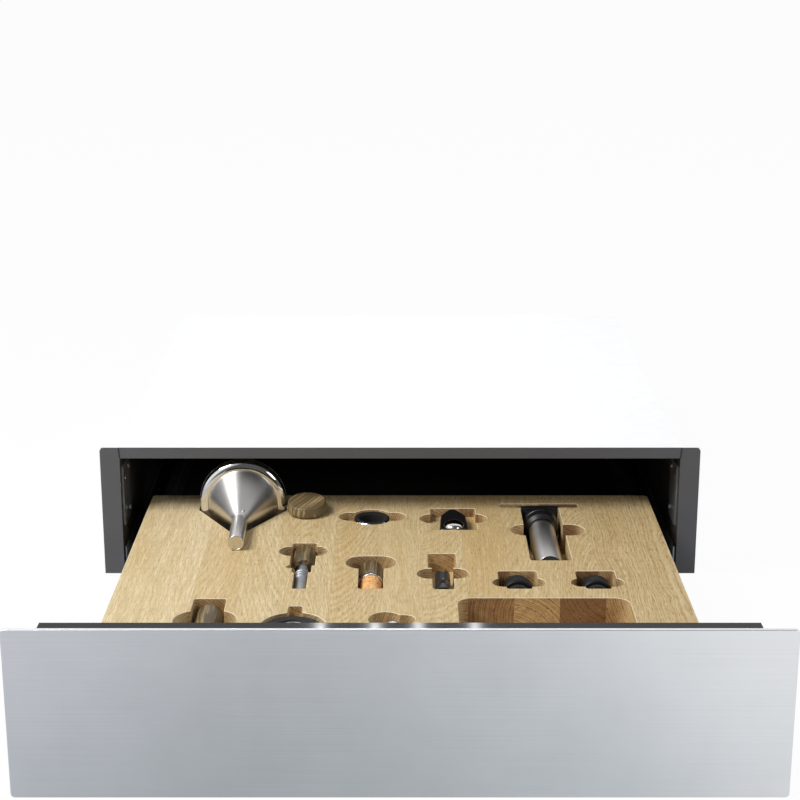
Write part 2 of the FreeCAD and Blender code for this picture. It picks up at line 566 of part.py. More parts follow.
def biarc(start, start_way, end, end_way):
    """Two arcs between two points that keep the directions there and meet in a common tangent."""
    chord, both = end - start, start_way + end_way
    across, bend = chord.dot(both), 2 * (1 - start_way.dot(end_way))
    reach = (math.sqrt(across ** 2 + bend * chord.dot(chord)) - across) / bend
    joint = (start + end + (start_way - end_way) * reach) * 0.5
    return [arc_from(start, start_way, joint), arc_from(end, end_way * -1, joint).reversed()]


def arc_from(start, way, end):
    """The arc that leaves one point along a direction and reaches another."""
    chord = end - start
    side = way - chord * (way.dot(chord) / chord.dot(chord))
    rise = chord.Length / 2 * math.tan(way.getAngle(chord) / 2)
    middle = (start + end) * 0.5 + side.normalize() * rise
    return Part.Arc(start, middle, end).toShape()


def drawer_pan():
    """The sheet pan under the tray, with flanges down all round for the front and the rails."""
    body = new_body("drawer_pan")
    floor = new_sketch(body, "XY", PAN_LOW)
    half = PAN_SIDE
    polygon(floor, [(f"-{half}", CARRIER_BACK), (half, CARRIER_BACK), (half, PAN_BACK),
                    (f"-{half}", PAN_BACK)])
    pad(body, floor, "pan_sheet")
    for low, high in ((CARRIER_BACK, f"{CARRIER_BACK} + pan_sheet"), (f"{PAN_BACK} - pan_sheet", PAN_BACK)):
        flange = new_sketch(body, "XY", PAN_TOP)
        polygon(flange, [(f"-{half}", low), (half, low), (half, high), (f"-{half}", high)])
        pad(body, flange, "pan_flange", backwards=True)
    for side in (-1, 1):
        flange = new_sketch(body, "XY", PAN_TOP)
        near, far = f"{side} * ({half} - pan_sheet)", f"{side} * {half}"
        polygon(flange, [(near, CARRIER_BACK), (far, CARRIER_BACK), (far, PAN_BACK), (near, PAN_BACK)])
        pad(body, flange, "pan_flange", backwards=True)
    holes = new_sketch(body, "YZ")
    for y in rail_screw_places():
        circle(holes, f"{y} - travel", "slide_axis", "screw + screw_room")
    pocket(body, holes, "casing_width", both=True)
    front_holes = new_sketch(body, "XZ", f"-{CARRIER_BACK}")
    for x, z in front_screws():
        circle(front_holes, x, z, "screw + screw_room")
    pocket(body, front_holes, "4 * pan_sheet", both=True)
    floor_holes = new_sketch(body, "XY", PAN_TOP)
    for x, y in tray_screws():
        circle(floor_holes, x, y, "screw + screw_room")
    pocket(body, floor_holes, "4 * pan_sheet", both=True)
    rear_holes = new_sketch(body, "XZ", f"-{PAN_BACK}")
    for x in striker_screws():
        circle(rear_holes, x, "latch_axis", "screw + screw_room")
    pocket(body, rear_holes, "4 * pan_sheet", both=True)


def front_screws():
    """Places (X, Z) of the screws through the pan's front flange into the carrier."""
    return [(f"{index} * front_screw_pitch", "front_screw_z") for index in range(-2, 3)]


def tray_screws():
    """Places (X, Y) of the screws through the pan's floor into the tray."""
    return [(f"{side} * tray_screw_x", f"{TOOL_LINE} + {y}")
            for side in (-1, 1) for y in ("tray_screw_front", "tray_screw_back")]


def striker_screws():
    return [f"{side} * (striker_width / 2 - striker_screw_inset)" for side in (-1, 1)]


def drawer_front():
    """The front: a bare steel plate on a gasket, and the carrier with its stiff core."""
    half = CARRIER_SIDE
    carrier = new_body("front_carrier")
    face = polygon(new_sketch(carrier, "XZ", f"-{CARRIER_FRONT}"), [
        (f"-{half}", CARRIER_LOW), (half, CARRIER_LOW), (half, CARRIER_TOP), (f"-{half}", CARRIER_TOP)])
    pad(carrier, face, "carrier_depth", backwards=True)
    shell = "carrier_shell"
    hollow = polygon(new_sketch(carrier, "XZ", f"-{CARRIER_FRONT}"), [
        (f"-{half} + {shell}", f"{CARRIER_LOW} + {shell}"),
        (f"{half} - {shell}", f"{CARRIER_LOW} + {shell}"),
        (f"{half} - {shell}", f"{CARRIER_TOP} - {shell}"),
        (f"-{half} + {shell}", f"{CARRIER_TOP} - {shell}")])
    pocket(carrier, hollow, "carrier_depth - carrier_shell")
    screws = new_sketch(carrier, "XZ", f"-{CARRIER_BACK}")
    for x, z in front_screws():
        circle(screws, x, z, "screw + screw_room")
    pocket(carrier, screws, "3 * carrier_shell", both=True)
    core = new_body("front_core")
    gap = "(carrier_shell + core_gap)"
    block = polygon(new_sketch(core, "XZ", f"-{CARRIER_FRONT}"), [
        (f"-{half} + {gap}", f"{CARRIER_LOW} + {gap}"), (f"{half} - {gap}", f"{CARRIER_LOW} + {gap}"),
        (f"{half} - {gap}", f"{CARRIER_TOP} - {gap}"), (f"-{half} + {gap}", f"{CARRIER_TOP} - {gap}")])
    pad(core, block, "carrier_depth - carrier_shell", backwards=True)
    holes = new_sketch(core, "XZ", f"-{CARRIER_BACK}")
    for x, z in front_screws():
        circle(holes, x, z, "screw + screw_room")
    pocket(core, holes, "2 * screw_length", both=True)
    gasket = new_body("front_gasket")
    inset = "gasket_inset"
    strip = polygon(new_sketch(gasket, "XZ", f"-{PLATE_BACK}"), [
        (f"-{half} + {inset}", f"{CARRIER_LOW} + {inset}"),
        (f"{half} - {inset}", f"{CARRIER_LOW} + {inset}"),
        (f"{half} - {inset}", f"{CARRIER_TOP} - {inset}"),
        (f"-{half} + {inset}", f"{CARRIER_TOP} - {inset}")])
    pad(gasket, strip, "gasket_thick", backwards=True)
    plate = new_body("front_plate")
    outline = new_sketch(plate, "XZ", f"-{PLATE_BACK}")
    rounded(outline, f"-{FRAME_EDGE}", FRAME_EDGE, "-plate_drop", PLATE_TOP, "plate_corner")
    slab = pad(plate, outline, "plate_thick")
    face = num(f"{PLATE_BACK} - plate_thick")
    ease(plate, slab, "Fillet", "plate_edge", lambda edge: edge.BoundBox.YMax < face + 0.01)
    striker = new_body("striker_plate")
    tab = new_sketch(striker, "XZ", f"-{PAN_BACK}")
    rounded(tab, "-striker_width / 2", "striker_width / 2", "striker_low", "striker_high",
            "striker_corner")
    for x in striker_screws():
        circle(tab, x, "latch_axis", "screw + screw_room")
    pad(striker, tab, "striker_thick", backwards=True)


def cut_box(tray, left, right, low, high, depth, corner="pocket_corner"):
    sketch = rounded(new_sketch(tray, "XY", "tray_top"), left, right, low, high, corner)
    pocket(tray, sketch, depth)


def cut_grip(tray, left, right, mid, radius, depth):
    pocket(tray, obround(new_sketch(tray, "XY", "tray_top"), left, right, mid, radius), depth)


def cut_round(tray, x, y, radius, depth):
    pocket(tray, circle(new_sketch(tray, "XY", "tray_top"), x, y, radius), depth)


def lying(radius, sunk):
    """Depth of the pocket for a round tool that lies with its top a little under the wood."""
    return f"({sunk} + 2 * {radius} + seat_gap)"


def axis_height(radius, sunk):
    return f"(tray_top - {sunk} - {radius})"


def oak_tray():
    """The solid oak tray, with one pocket for each tool and a grip on both its sides."""
    tray = new_body("oak_tray", ("0", TOOL_LINE, "0"))
    outline = new_sketch(tray, "XY", PAN_TOP)
    rounded(outline, f"-{TRAY_SIDE}", TRAY_SIDE, f"{TRAY_FRONT} - {TOOL_LINE}", "tool_line", "tray_corner")
    pad(tray, outline, "tray_thick")
    half = "funnel_well / 2"
    nose = "funnel_well_nose / 2"
    well = polygon(new_sketch(tray, "XY", "tray_top"), [
        (f"funnel_x - {half}", "funnel_well_back"), (f"funnel_x - {half}", "funnel_well_turn"),
        (f"funnel_x - {nose}", "funnel_well_front"), (f"funnel_x + {nose}", "funnel_well_front"),
        (f"funnel_x + {half}", "funnel_well_turn"), (f"funnel_x + {half}", "funnel_well_back")])
    pocket(tray, well, "tray_thick + 1")
    cut_round(tray, "disc_x", "disc_y", "disc_well", "tray_thick - 2")
    drip = "(drip_sunk + drip_height + seat_gap)"
    cut_round(tray, "drip_x", "drip_y", "drip_radius + drip_room", drip)
    cut_grip(tray, "drip_grip_left", "drip_grip_right", "drip_grip_y", "drip_grip", drip)
    flat = "(cutter_sunk + cutter_height + seat_gap)"
    wide = "(cutter_front_width / 2 + cutter_room)"
    cut_box(tray, f"cutter_x - {wide}", f"cutter_x + {wide}", "cutter_well_front",
            "cutter_well_back", flat)
    cut_grip(tray, "cutter_x - cutter_grip_width / 2", "cutter_x + cutter_grip_width / 2",
             "cutter_grip_y", "cutter_grip", flat)
    pump = "(pump_sunk + pump_radius + pump_collar + seat_gap)"
    wide = "(pump_collar + pump_room)"
    cut_box(tray, f"pump_x - {wide}", f"pump_x + {wide}", "pump_well_front",
            "pump_slot_front + 1", pump)
    cut_box(tray, "pump_x - pump_slot_width / 2", "pump_x + pump_slot_width / 2",
            "pump_slot_front", "pump_slot_back", pump)
    cut_grip(tray, "pump_grip_left", "pump_grip_right", "pump_grip_y", "pump_grip", pump)
    steel = lying("steel_handle", "steel_sunk")
    wide, waist = "(steel_handle + steel_room)", "(steel_flange + steel_waist_room)"
    nose = "(steel_taper + steel_nose_room)"
    cut_box(tray, f"steel_x - {wide}", f"steel_x + {wide}", "steel_well_turn", "steel_well_back", steel)
    cut_box(tray, f"steel_x - {waist}", f"steel_x + {waist}", "steel_well_waist",
            "steel_well_turn + 6", steel)
    cut_box(tray, f"steel_x - {nose}", f"steel_x + {nose}", "steel_well_front",
            "steel_well_waist + 6", steel, "steel_nose")
    cut_grip(tray, "steel_grip_left", "steel_grip_right", "steel_grip_y", "steel_grip", steel)
    cut_grip(tray, "steel_nick_left", "steel_x", "steel_nick_y", "steel_nick / 2", steel)
    cork, wide = lying("cork_collar", "cork_sunk"), "(cork_collar + cork_room)"
    cut_box(tray, f"cork_x - {wide}", f"cork_x + {wide}", "cork_well_front", "cork_well_back", cork)
    cut_grip(tray, "cork_grip_left", "cork_grip_right", "cork_grip_y", "cork_grip", cork)
    pour, wide = lying("pourer_front_radius", "pourer_sunk"), "(pourer_front_radius + pourer_room)"
    cut_box(tray, "pourer_x - pourer_well_width / 2", "pourer_x + pourer_well_width / 2",
            "pourer_well_turn", "pourer_well_back", pour)
    cut_box(tray, f"pourer_x - {wide}", f"pourer_x + {wide}", "pourer_well_front",
            "pourer_well_turn + 6", pour, "pourer_nose")
    cut_grip(tray, "pourer_grip_left", "pourer_grip_right", "pourer_grip_y", "pourer_grip", pour)
    deep = lying("vacuum_body", "vacuum_sunk")
    for x in ("vacuum_left_x", "vacuum_right_x"):
        wide, narrow = "(vacuum_body + vacuum_room)", "vacuum_nose"
        cut_box(tray, f"{x} - {wide}", f"{x} + {wide}", "vacuum_well_turn", "vacuum_well_back", deep)
        cut_box(tray, f"{x} - {narrow}", f"{x} + {narrow}", "vacuum_well_front",
                "vacuum_well_turn + 6", deep)
        cut_grip(tray, f"{x} - vacuum_grip_width / 2", f"{x} + vacuum_grip_width / 2",
                 "vacuum_grip_y", "vacuum_grip", deep)
    deep, wide = lying("opener_handle", "opener_sunk"), "(opener_handle + opener_room)"
    cut_box(tray, f"opener_x - {wide}", f"opener_x + {wide}", "opener_well_front",
            "opener_well_back", deep)
    wide = "(opener_head_width / 2 + opener_head_room)"
    cut_box(tray, f"opener_x - {wide}", f"opener_x + {wide}", "opener_well_front",
            "opener_well_turn", deep, "8")
    cut_grip(tray, "opener_x - opener_grip_width / 2", "opener_x + opener_grip_width / 2",
             "opener_grip_y", "opener_grip", deep)
    flat = "(ring_sunk + ring_height + seat_gap)"
    cut_round(tray, "ring_x", "ring_y", "ring_radius + ring_room", flat)
    cut_box(tray, "ring_x - ring_nick_width / 2", "ring_x + ring_nick_width / 2", "ring_y",
            "ring_nick_back", flat)
    deep, wide = lying("tube_radius", "tube_sunk"), "(tube_radius + tube_room)"
    cut_box(tray, f"tube_x - {wide}", f"tube_x + {wide}", "tube_well_front", "tube_round_y", deep)
    cut_round(tray, "tube_round_x", "tube_round_y", "tube_round", deep)
    cut_grip(tray, "tube_round_x - tube_nick", "tube_nick_right", "tube_round_y", "tube_nick", deep)
    cut_box(tray, "recess_left", "recess_right", "recess_front", "recess_back", "recess_depth",
            "recess_corner")
    pilots = new_sketch(tray, "XY", PAN_TOP)
    for x, y in tray_screws():
        circle(pilots, x, f"{y} - {TOOL_LINE}", "screw + screw_room")
    last = pocket(tray, pilots, "screw_length", backwards=True)
    top = num("tray_top")
    ease(tray, last, "Chamfer", "tray_chamfer", lambda edge: edge.BoundBox.ZMin > top - 0.01)


def funnel():
    """The steel funnel lies on its rim and spout, its axis dipping a little to the front.

    The spout's tip is closed, and the wine leaves through an outlet in its underside.
    """
    height = f"({PAN_TOP} + seat_gap + funnel_rim)"
    length = "(funnel_shoulder_at + funnel_cone + funnel_spout_length)"
    drop = num(f"{height} - (tray_top + seat_gap + funnel_spout)")
    dip = math.degrees(math.asin(drop / num(length)))
    turn = Rotation(Vector(0, 0, 1), num("funnel_yaw")) * Rotation(Vector(1, 0, 0), dip)
    at = ("funnel_x", f"{TOOL_LINE} + funnel_y", height)
    neck = "(-(funnel_shoulder_at + funnel_cone))"
    outline = [("funnel_rim", "0"), ("funnel_rim", "-funnel_band"),
               ("funnel_shoulder", "-funnel_shoulder_at"), ("funnel_spout", neck)]
    inside = [(f"{radius} - funnel_wall", along) for radius, along in reversed(outline)]
    turned("funnel_bowl", outline + inside, at, turn)
    end = f"(-{length})"
    bore = "funnel_spout - funnel_wall"
    spout = turned("funnel_spout", [("funnel_spout", neck), ("funnel_spout", end), ("0", end),
                                    ("0", f"{end} + funnel_wall"), (bore, f"{end} + funnel_wall"),
                                    (bore, neck)], at, turn)
    outlet = new_sketch(spout)
    near, far = f"{end} + funnel_wall", f"{end} + funnel_wall + funnel_outlet_length"
    rounded(outlet, "-funnel_outlet / 2", "funnel_outlet / 2", near, far, "funnel_outlet / 4")
    pocket(spout, outlet, "2 * funnel_spout")


def disc_stopper():
    """The stopper that stands in its hole: a turned wooden disc on a ridged rubber plug."""
    low = "tray_top + seat_gap + disc_rim * sin(disc_tilt * 1 deg)"
    at = ("disc_x", f"{TOOL_LINE} + disc_y", low)
    tilt = num("disc_tilt")
    upright("disc_stopper_cap", [
        ("0", "0"), ("disc_rim", "0"), ("disc_rim", "disc_thick * 0.35"),
        ("disc_top", "disc_thick"), ("0", "disc_thick")], at, tilt)
    ridge, length = "(disc_plug + disc_ridge)", "disc_plug_length"
    profile = [("0", "0"), ("disc_plug", "0")]
    for share in ("0.25", "0.6"):
        at_y = f"{share} * {length}"
        profile += [("disc_plug", f"-{at_y}"), (ridge, f"-{at_y} - 1"), (ridge, f"-{at_y} - 3"),
                    ("disc_plug", f"-{at_y} - 4")]
    profile += [("disc_plug", f"-{length}"), ("0", f"-{length}")]
    upright("disc_stopper_plug", profile, at, tilt)


def drip_ring():
    at = ("drip_x", f"{TOOL_LINE} + drip_y", "tray_top - drip_sunk - drip_height")
    inner = "drip_radius - drip_wall"
    upright("drip_ring_band", [("drip_radius", "0"), ("drip_radius", "drip_height"),
                               (inner, "drip_height"), (inner, "0")], at)
    upright("drip_ring_felt", [(inner, "0"), (inner, "drip_height"), ("drip_bore", "drip_height"),
                               ("drip_bore", "0")], at)


def foil_cutter():
    low = "tray_top - cutter_sunk - cutter_height"
    body = new_body("foil_cutter_body", ("0", TOOL_LINE, "0"))
    back, front = "cutter_back_width / 2", "cutter_front_width / 2"
    plan = polygon(new_sketch(body, "XY", low), [
        (f"cutter_x - {front}", "cutter_front"), (f"cutter_x + {front}", "cutter_front"),
        (f"cutter_x + {back}", "cutter_shoulder"), ("cutter_x + 2", "cutter_back"),
        ("cutter_x - 2", "cutter_back"), (f"cutter_x - {back}", "cutter_shoulder")])
    pad(body, plan, "cutter_height")
    rise = "cutter_dome_height"
    upright("foil_cutter_dome", [
        ("0", "0"), ("cutter_dome", "0"), ("cutter_dome * 0.94", f"{rise} * 0.35"),
        ("cutter_dome * 0.75", f"{rise} * 0.7"), ("cutter_dome * 0.4", f"{rise} * 0.94"), ("0", rise)],
        ("cutter_x", f"{TOOL_LINE} + cutter_dome_y", "tray_top - cutter_sunk"))


def vacuum_pump():
    at = ("pump_x", TOOL_LINE, axis_height("pump_radius", "pump_sunk"))
    wall = "(pump_radius - pump_wall)"
    bore = "pump_rod + pump_rod_room"
    turned("pump_cylinder", [("pump_radius", "pump_collar_front"), ("pump_radius", "pump_steel_front"),
                             (wall, "pump_steel_front"), (wall, "pump_collar_front")], at)
    turned("pump_collar", [
        (bore, "pump_collar_back"), ("pump_collar * 0.92", "pump_collar_back"),
        ("pump_collar", "pump_collar_back - 2"), ("pump_collar", "pump_collar_back - 8"),
        ("pump_collar * 0.95", "pump_collar_back - 9"), ("pump_collar * 0.95", "pump_collar_back - 12"),
        ("pump_collar", "pump_collar_back - 13"), ("pump_collar", "pump_collar_back - 20"),
        ("pump_radius + 0.5", "pump_collar_front"), (bore, "pump_collar_front")], at)
    turned("pump_end_seal", [
        ("0", "pump_steel_front"), ("pump_radius", "pump_steel_front"),
        ("pump_seal", "pump_front"), ("5", "pump_front"), ("5", "pump_front + 4"), ("0", "pump_front + 4")],
        at)
    handle = new_body("pump_handle", at)
    bar = new_sketch(handle, "XZ", "-pump_bar_back")
    half, tall = "pump_bar_width / 2", "pump_bar_height / 2"
    rounded(bar, f"-{half}", half, f"-{tall}", tall, "pump_bar_corner")
    pad(handle, bar, "pump_bar_back - pump_bar_front")
    rod = circle(new_sketch(handle, "XZ", "-pump_bar_back + 2"), "0", "0", "pump_rod")
    pad(handle, rod, "pump_bar_back - 2 - pump_steel_front - 12")


def steel_stopper():
    at = ("steel_x", TOOL_LINE, axis_height("steel_handle", "steel_sunk"))
    turned("steel_stopper_handle", [
        ("0", "steel_back"), ("steel_handle * 0.7", "steel_back"), ("steel_handle * 0.95", "steel_back - 3"),
        ("steel_handle", "steel_back - 8"), ("steel_handle", "steel_back - 22"),
        ("steel_handle * 0.88", "steel_handle_front + 5"), ("steel_handle * 0.78", "steel_handle_front"),
        ("0", "steel_handle_front")], at)
    turned("steel_stopper_shaft", [
        ("0", "steel_handle_front"), ("steel_neck", "steel_handle_front"),
        ("steel_neck", "steel_flange_back + 1.5"), ("steel_flange", "steel_flange_back"),
        ("steel_flange", "steel_flange_front"), ("steel_taper", "steel_flange_front"),
        ("steel_tip", "steel_front"), ("0", "steel_front")], at)


def cork_stopper():
    at = ("cork_x", TOOL_LINE, axis_height("cork_collar", "cork_sunk"))
    turned("cork_stopper_head", [
        ("0", "cork_head_back"), ("cork_head * 0.7", "cork_head_back"),
        ("cork_head", "cork_head_back - 3"), ("cork_head", "cork_head_front"), ("0", "cork_head_front")],
        at)
    turned("cork_stopper_collar", [
        ("0", "cork_head_front"), ("cork_collar * 0.93", "cork_head_front"),
        ("cork_collar * 0.93", "cork_head_front - 2"), ("cork_collar", "cork_head_front - 2"),
        ("cork_collar", "cork_collar_front"), ("0", "cork_collar_front")], at)
    turned("cork_stopper_cork", [
        ("0", "cork_collar_front"), ("cork_radius", "cork_collar_front"),
        ("cork_radius * 0.94", "cork_front + 1"), ("cork_radius * 0.86", "cork_front"),
        ("0", "cork_front")], at)


def pourer():
    at = ("pourer_x", TOOL_LINE, axis_height("pourer_front_radius", "pourer_sunk"))
    body = turned("pourer", [
        ("pourer_bore", "pourer_back"), ("pourer_back_radius", "pourer_back"),
        ("pourer_back_radius * 0.96", "pourer_back - 22"), ("pourer_front_radius", "pourer_back - 36"),
        ("pourer_front_radius", "pourer_front"), ("pourer_bore", "pourer_front")], at)
    notch = polygon(new_sketch(body), [
        ("-pourer_back_radius * 0.7", "pourer_back + 1"), ("pourer_back_radius * 0.7", "pourer_back + 1"),
        ("0", "pourer_back - pourer_notch")])
    pocket(body, notch, "3 * pourer_front_radius", both=True)


def vacuum_stopper(label, x):
    """A rubber stopper that lies on its side: a round body with a socket behind, and a cap in front."""
    at = (x, TOOL_LINE, axis_height("vacuum_body", "vacuum_sunk"))
    turned(label, [
        ("0", "vacuum_back - vacuum_socket_depth"), ("vacuum_socket", "vacuum_back - vacuum_socket_depth"),
        ("vacuum_socket", "vacuum_back"), ("vacuum_body - 2.5", "vacuum_back"),
        ("vacuum_body", "vacuum_back - 3"), ("vacuum_body", "vacuum_body_front + 1"),
        ("vacuum_body - 1", "vacuum_body_front"), ("vacuum_groove", "vacuum_body_front"),
        ("vacuum_groove", "vacuum_cap_back"), ("vacuum_cap - 0.6", "vacuum_cap_back"),
        ("vacuum_cap", "vacuum_cap_back - 1.5"), ("vacuum_cap", "vacuum_front + 3"),
        ("vacuum_cap - 3", "vacuum_front"), ("0", "vacuum_front")], at)


def bottle_opener():
    at = ("opener_x", TOOL_LINE, axis_height("opener_handle", "opener_sunk"))
    turned("opener_handle", [
        ("0", "opener_back"), ("opener_handle * 0.72", "opener_back"),
        ("opener_handle * 0.96", "opener_back - 4"), ("opener_handle", "opener_back - 10"),
        ("opener_handle", "opener_handle_front + 12"), ("opener_neck", "opener_handle_front"),
        ("0", "opener_handle_front")], at)
    head = turned("opener_head", [
        ("0", "opener_handle_front"), ("opener_neck", "opener_handle_front"),
        ("opener_neck", "opener_neck_front + 2"), ("opener_shaft", "opener_neck_front - 6"),
        ("opener_shaft", "opener_shaft_front - 6"), ("0", "opener_shaft_front - 6")], at)
    loop = new_sketch(head, "XY", "-opener_head_thick / 2")
    half = "opener_head_width / 2"
    rounded(loop, f"-{half}", half, "opener_head_front", "opener_shaft_front", "opener_head_corner")
    pad(head, loop, "opener_head_thick")
    window = new_sketch(head)
    rounded(window, "-opener_window / 2", "opener_window / 2", "opener_window_front",
            "opener_window_back", "opener_window_corner")
    pocket(head, window, "4 * opener_head_thick", both=True)


def bottle_ring():
    at = ("ring_x", f"{TOOL_LINE} + ring_y", "tray_top - ring_sunk - ring_height")
    upright("bottle_ring_rubber", [
        ("ring_liner", "0"), ("ring_radius", "0"), ("ring_radius", "ring_height - 1.5"),
        ("ring_radius - 1.5", "ring_height"), ("ring_liner", "ring_height")], at)
    upright("bottle_ring_liner", [("ring_bore", "0"), ("ring_liner", "0"), ("ring_liner", "ring_height"),
                                  ("ring_bore", "ring_height")], at)


def thermometer_tube():
    at = ("tube_x", TOOL_LINE, axis_height("tube_radius", "tube_sunk"))
    turned("thermometer_tube", [
        ("0", "tube_back"), ("tube_radius * 0.6", "tube_back"), ("tube_radius * 0.92", "tube_back - 2"),
        ("tube_radius", "tube_back - 6"), ("tube_radius", "tube_front + 1"),
        ("tube_radius - 1", "tube_front"), ("0", "tube_front")], at)


def screw_shape(at, direction, length):
    """A pan-head screw whose head's underside is at a point, its shank along a direction."""
    head = Part.makeCylinder(num("screw_head"), num("screw_head_height"), at, -direction)
    socket = Part.makeCylinder(num("screw_socket"), num("screw_socket_depth"),
                               at - direction * num("screw_head_height"), direction)
    shank = Part.makeCylinder(num("screw"), length, at, direction)
    return head.fuse(shank).cut(socket)


def screw_group(label, places, length="screw_length"):
    """One node with all the like screws of a joint."""
    feature = node(doc.addObject("Part::Feature", "Screws"), label)
    feature.Shape = Part.makeCompound([screw_shape(at, way, num(length)) for at, way in places])


def screws():
    casing = []
    for side in (-1, 1):
        inward = Vector(-side, 0, 0)
        for y, z in wall_screws():
            casing.append((Vector(side * num("casing_width / 2"), num(y), num(z)), inward))
    screw_group("casing_screws", casing)
    plates = []
    for side in (-1, 1):
        for y, z in plate_screws():
            at = Vector(side * num(f"{WALL} - fixing_sheet"), num(y), num(z))
            plates.append((at, Vector(side, 0, 0)))
    screw_group("fixing_plate_screws", plates)
    rails = []
    for side in (-1, 1):
        for y in rail_screw_places():
            at = Vector(side * num(f"{CABINET_WEB} + bracket_sheet"), num(y), num("slide_axis"))
            rails.append((at, Vector(-side, 0, 0)))
    screw_group("cabinet_rail_screws", rails, "bracket_sheet + slide_sheet")
    drawer = []
    for side in (-1, 1):
        for y in rail_screw_places():
            at = Vector(side * num(f"{PAN_SIDE} - pan_sheet"), num(f"{y} - travel"), num("slide_axis"))
            drawer.append((at, Vector(side, 0, 0)))
    screw_group("drawer_rail_screws", drawer, "pan_sheet + slide_sheet")
    behind = num(f"{CARRIER_BACK} + pan_sheet")
    screw_group("front_screws", [(Vector(num(x), behind, num(z)), Vector(0, -1, 0))
                                 for x, z in front_screws()])
    screw_group("tray_screws", [(Vector(num(x), num(y), num(PAN_LOW)), Vector(0, 0, 1))
                                for x, y in tray_screws()])


def export():
    """Check every object, then write one file for each sub-part."""
    doc.recompute()
    bad = [obj.Name for obj in doc.Objects if {"Invalid", "Error"} & set(obj.State)]
    for obj in nodes:
        if obj.Shape.isNull() or not obj.Shape.isValid() or not obj.Shape.Solids:
            bad.append(obj.Label)
    if bad:
        raise RuntimeError(f"failed objects: {bad}")
    os.makedirs("parts", exist_ok=True)
    for obj in nodes:
        obj.Shape.exportStep(f"parts/{obj.Label}.step")
    print(len(nodes), "sub-parts written")


for side in (-1, 1):
    casing_side(side)
    fixing_plate(side)
casing_sheets()
casing_rear()
slides()
latch()
drawer_pan()
drawer_front()
oak_tray()
funnel()
disc_stopper()
drip_ring()
foil_cutter()
vacuum_pump()
steel_stopper()
cork_stopper()
pourer()
vacuum_stopper("vacuum_stopper_left", "vacuum_left_x")
vacuum_stopper("vacuum_stopper_right", "vacuum_right_x")
bottle_opener()
bottle_ring()
thermometer_tube()
screws()
export()
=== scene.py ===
"""Looks of a built-in sommelier drawer: steel front, grey casing, oak tray and the wine tools in it.

Lengths are in metres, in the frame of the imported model: X to the right, Y into the cabinet, Z up.
"""

import json
import logging
import math
from dataclasses import dataclass
from enum import Enum
from functools import partial, reduce

import bmesh
import bpy
import numpy as np
from mathutils import Matrix, Vector

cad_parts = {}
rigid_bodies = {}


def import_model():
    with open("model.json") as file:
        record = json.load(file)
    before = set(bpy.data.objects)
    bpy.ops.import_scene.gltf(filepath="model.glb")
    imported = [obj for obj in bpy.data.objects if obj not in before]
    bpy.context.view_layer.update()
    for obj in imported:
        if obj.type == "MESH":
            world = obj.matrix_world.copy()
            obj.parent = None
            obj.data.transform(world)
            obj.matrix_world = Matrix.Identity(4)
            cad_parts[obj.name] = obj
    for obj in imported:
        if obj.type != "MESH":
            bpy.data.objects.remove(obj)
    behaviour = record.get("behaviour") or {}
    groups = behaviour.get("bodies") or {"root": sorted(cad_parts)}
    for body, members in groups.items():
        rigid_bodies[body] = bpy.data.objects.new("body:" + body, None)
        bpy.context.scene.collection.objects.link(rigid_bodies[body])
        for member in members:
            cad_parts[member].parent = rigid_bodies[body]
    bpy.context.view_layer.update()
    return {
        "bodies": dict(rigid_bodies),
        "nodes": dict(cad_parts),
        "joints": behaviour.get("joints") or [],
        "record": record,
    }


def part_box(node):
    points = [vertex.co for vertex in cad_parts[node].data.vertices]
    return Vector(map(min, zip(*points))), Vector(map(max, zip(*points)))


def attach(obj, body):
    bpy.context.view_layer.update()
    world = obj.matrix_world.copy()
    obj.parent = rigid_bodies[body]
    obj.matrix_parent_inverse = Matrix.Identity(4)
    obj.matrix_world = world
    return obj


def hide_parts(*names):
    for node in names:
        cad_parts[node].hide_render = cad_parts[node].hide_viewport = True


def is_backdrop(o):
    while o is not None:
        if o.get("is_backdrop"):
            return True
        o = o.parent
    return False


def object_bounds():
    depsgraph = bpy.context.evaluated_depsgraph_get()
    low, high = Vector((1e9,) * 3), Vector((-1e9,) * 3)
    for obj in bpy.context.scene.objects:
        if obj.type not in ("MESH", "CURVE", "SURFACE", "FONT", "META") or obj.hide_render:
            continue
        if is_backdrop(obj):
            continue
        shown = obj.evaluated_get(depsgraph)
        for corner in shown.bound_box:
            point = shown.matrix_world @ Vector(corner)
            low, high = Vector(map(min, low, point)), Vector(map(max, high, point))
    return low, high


MM = 0.001
LOG = logging.getLogger("sommelier_drawer")
Colour = tuple[float, float, float]
Profile = list[tuple[float, float]]


def tint(red: int, green: int, blue: int) -> tuple[float, float, float, float]:
    """A colour as it shows on a screen, from 0 to 255, as linear light.

    Args:
        red, green, blue: the screen values.
    Returns:
        Linear red, green, blue and an alpha of 1.
    """
    shown = np.array([red, green, blue]) / 255
    linear = np.where(shown <= 0.04045, shown / 12.92, ((shown + 0.055) / 1.055) ** 2.4)
    return (*linear.tolist(), 1.0)


# Shapes

# An outline's corner is rounded between these angles, up to this share of its shorter side.
NEARLY_FOLDED = math.radians(1)
NEARLY_STRAIGHT = math.radians(89.5)
SIDE_SHARE = 0.45

SAME_PLACE = 1e-6
NO_LENGTH = 1e-7
HARD_EDGE = 40
WIRE_SIDES = 12


@dataclass(frozen=True)
class Axis:
    """A line that a turned piece is carried on: a point on it, and its direction."""

    origin: Vector
    way: Vector = Vector((0, 1, 0))

    def frame(self) -> np.ndarray:
        """Rows of the two directions across the axis and the axis itself.

        Returns:
            An array of three rows.
        """
        way = self.way.normalized()
        guide = Vector((0, 0, 1)) if abs(way.z) < 0.9 else Vector((0, 1, 0))
        across = guide.cross(way).normalized()
        return np.array([across, way.cross(across), way])


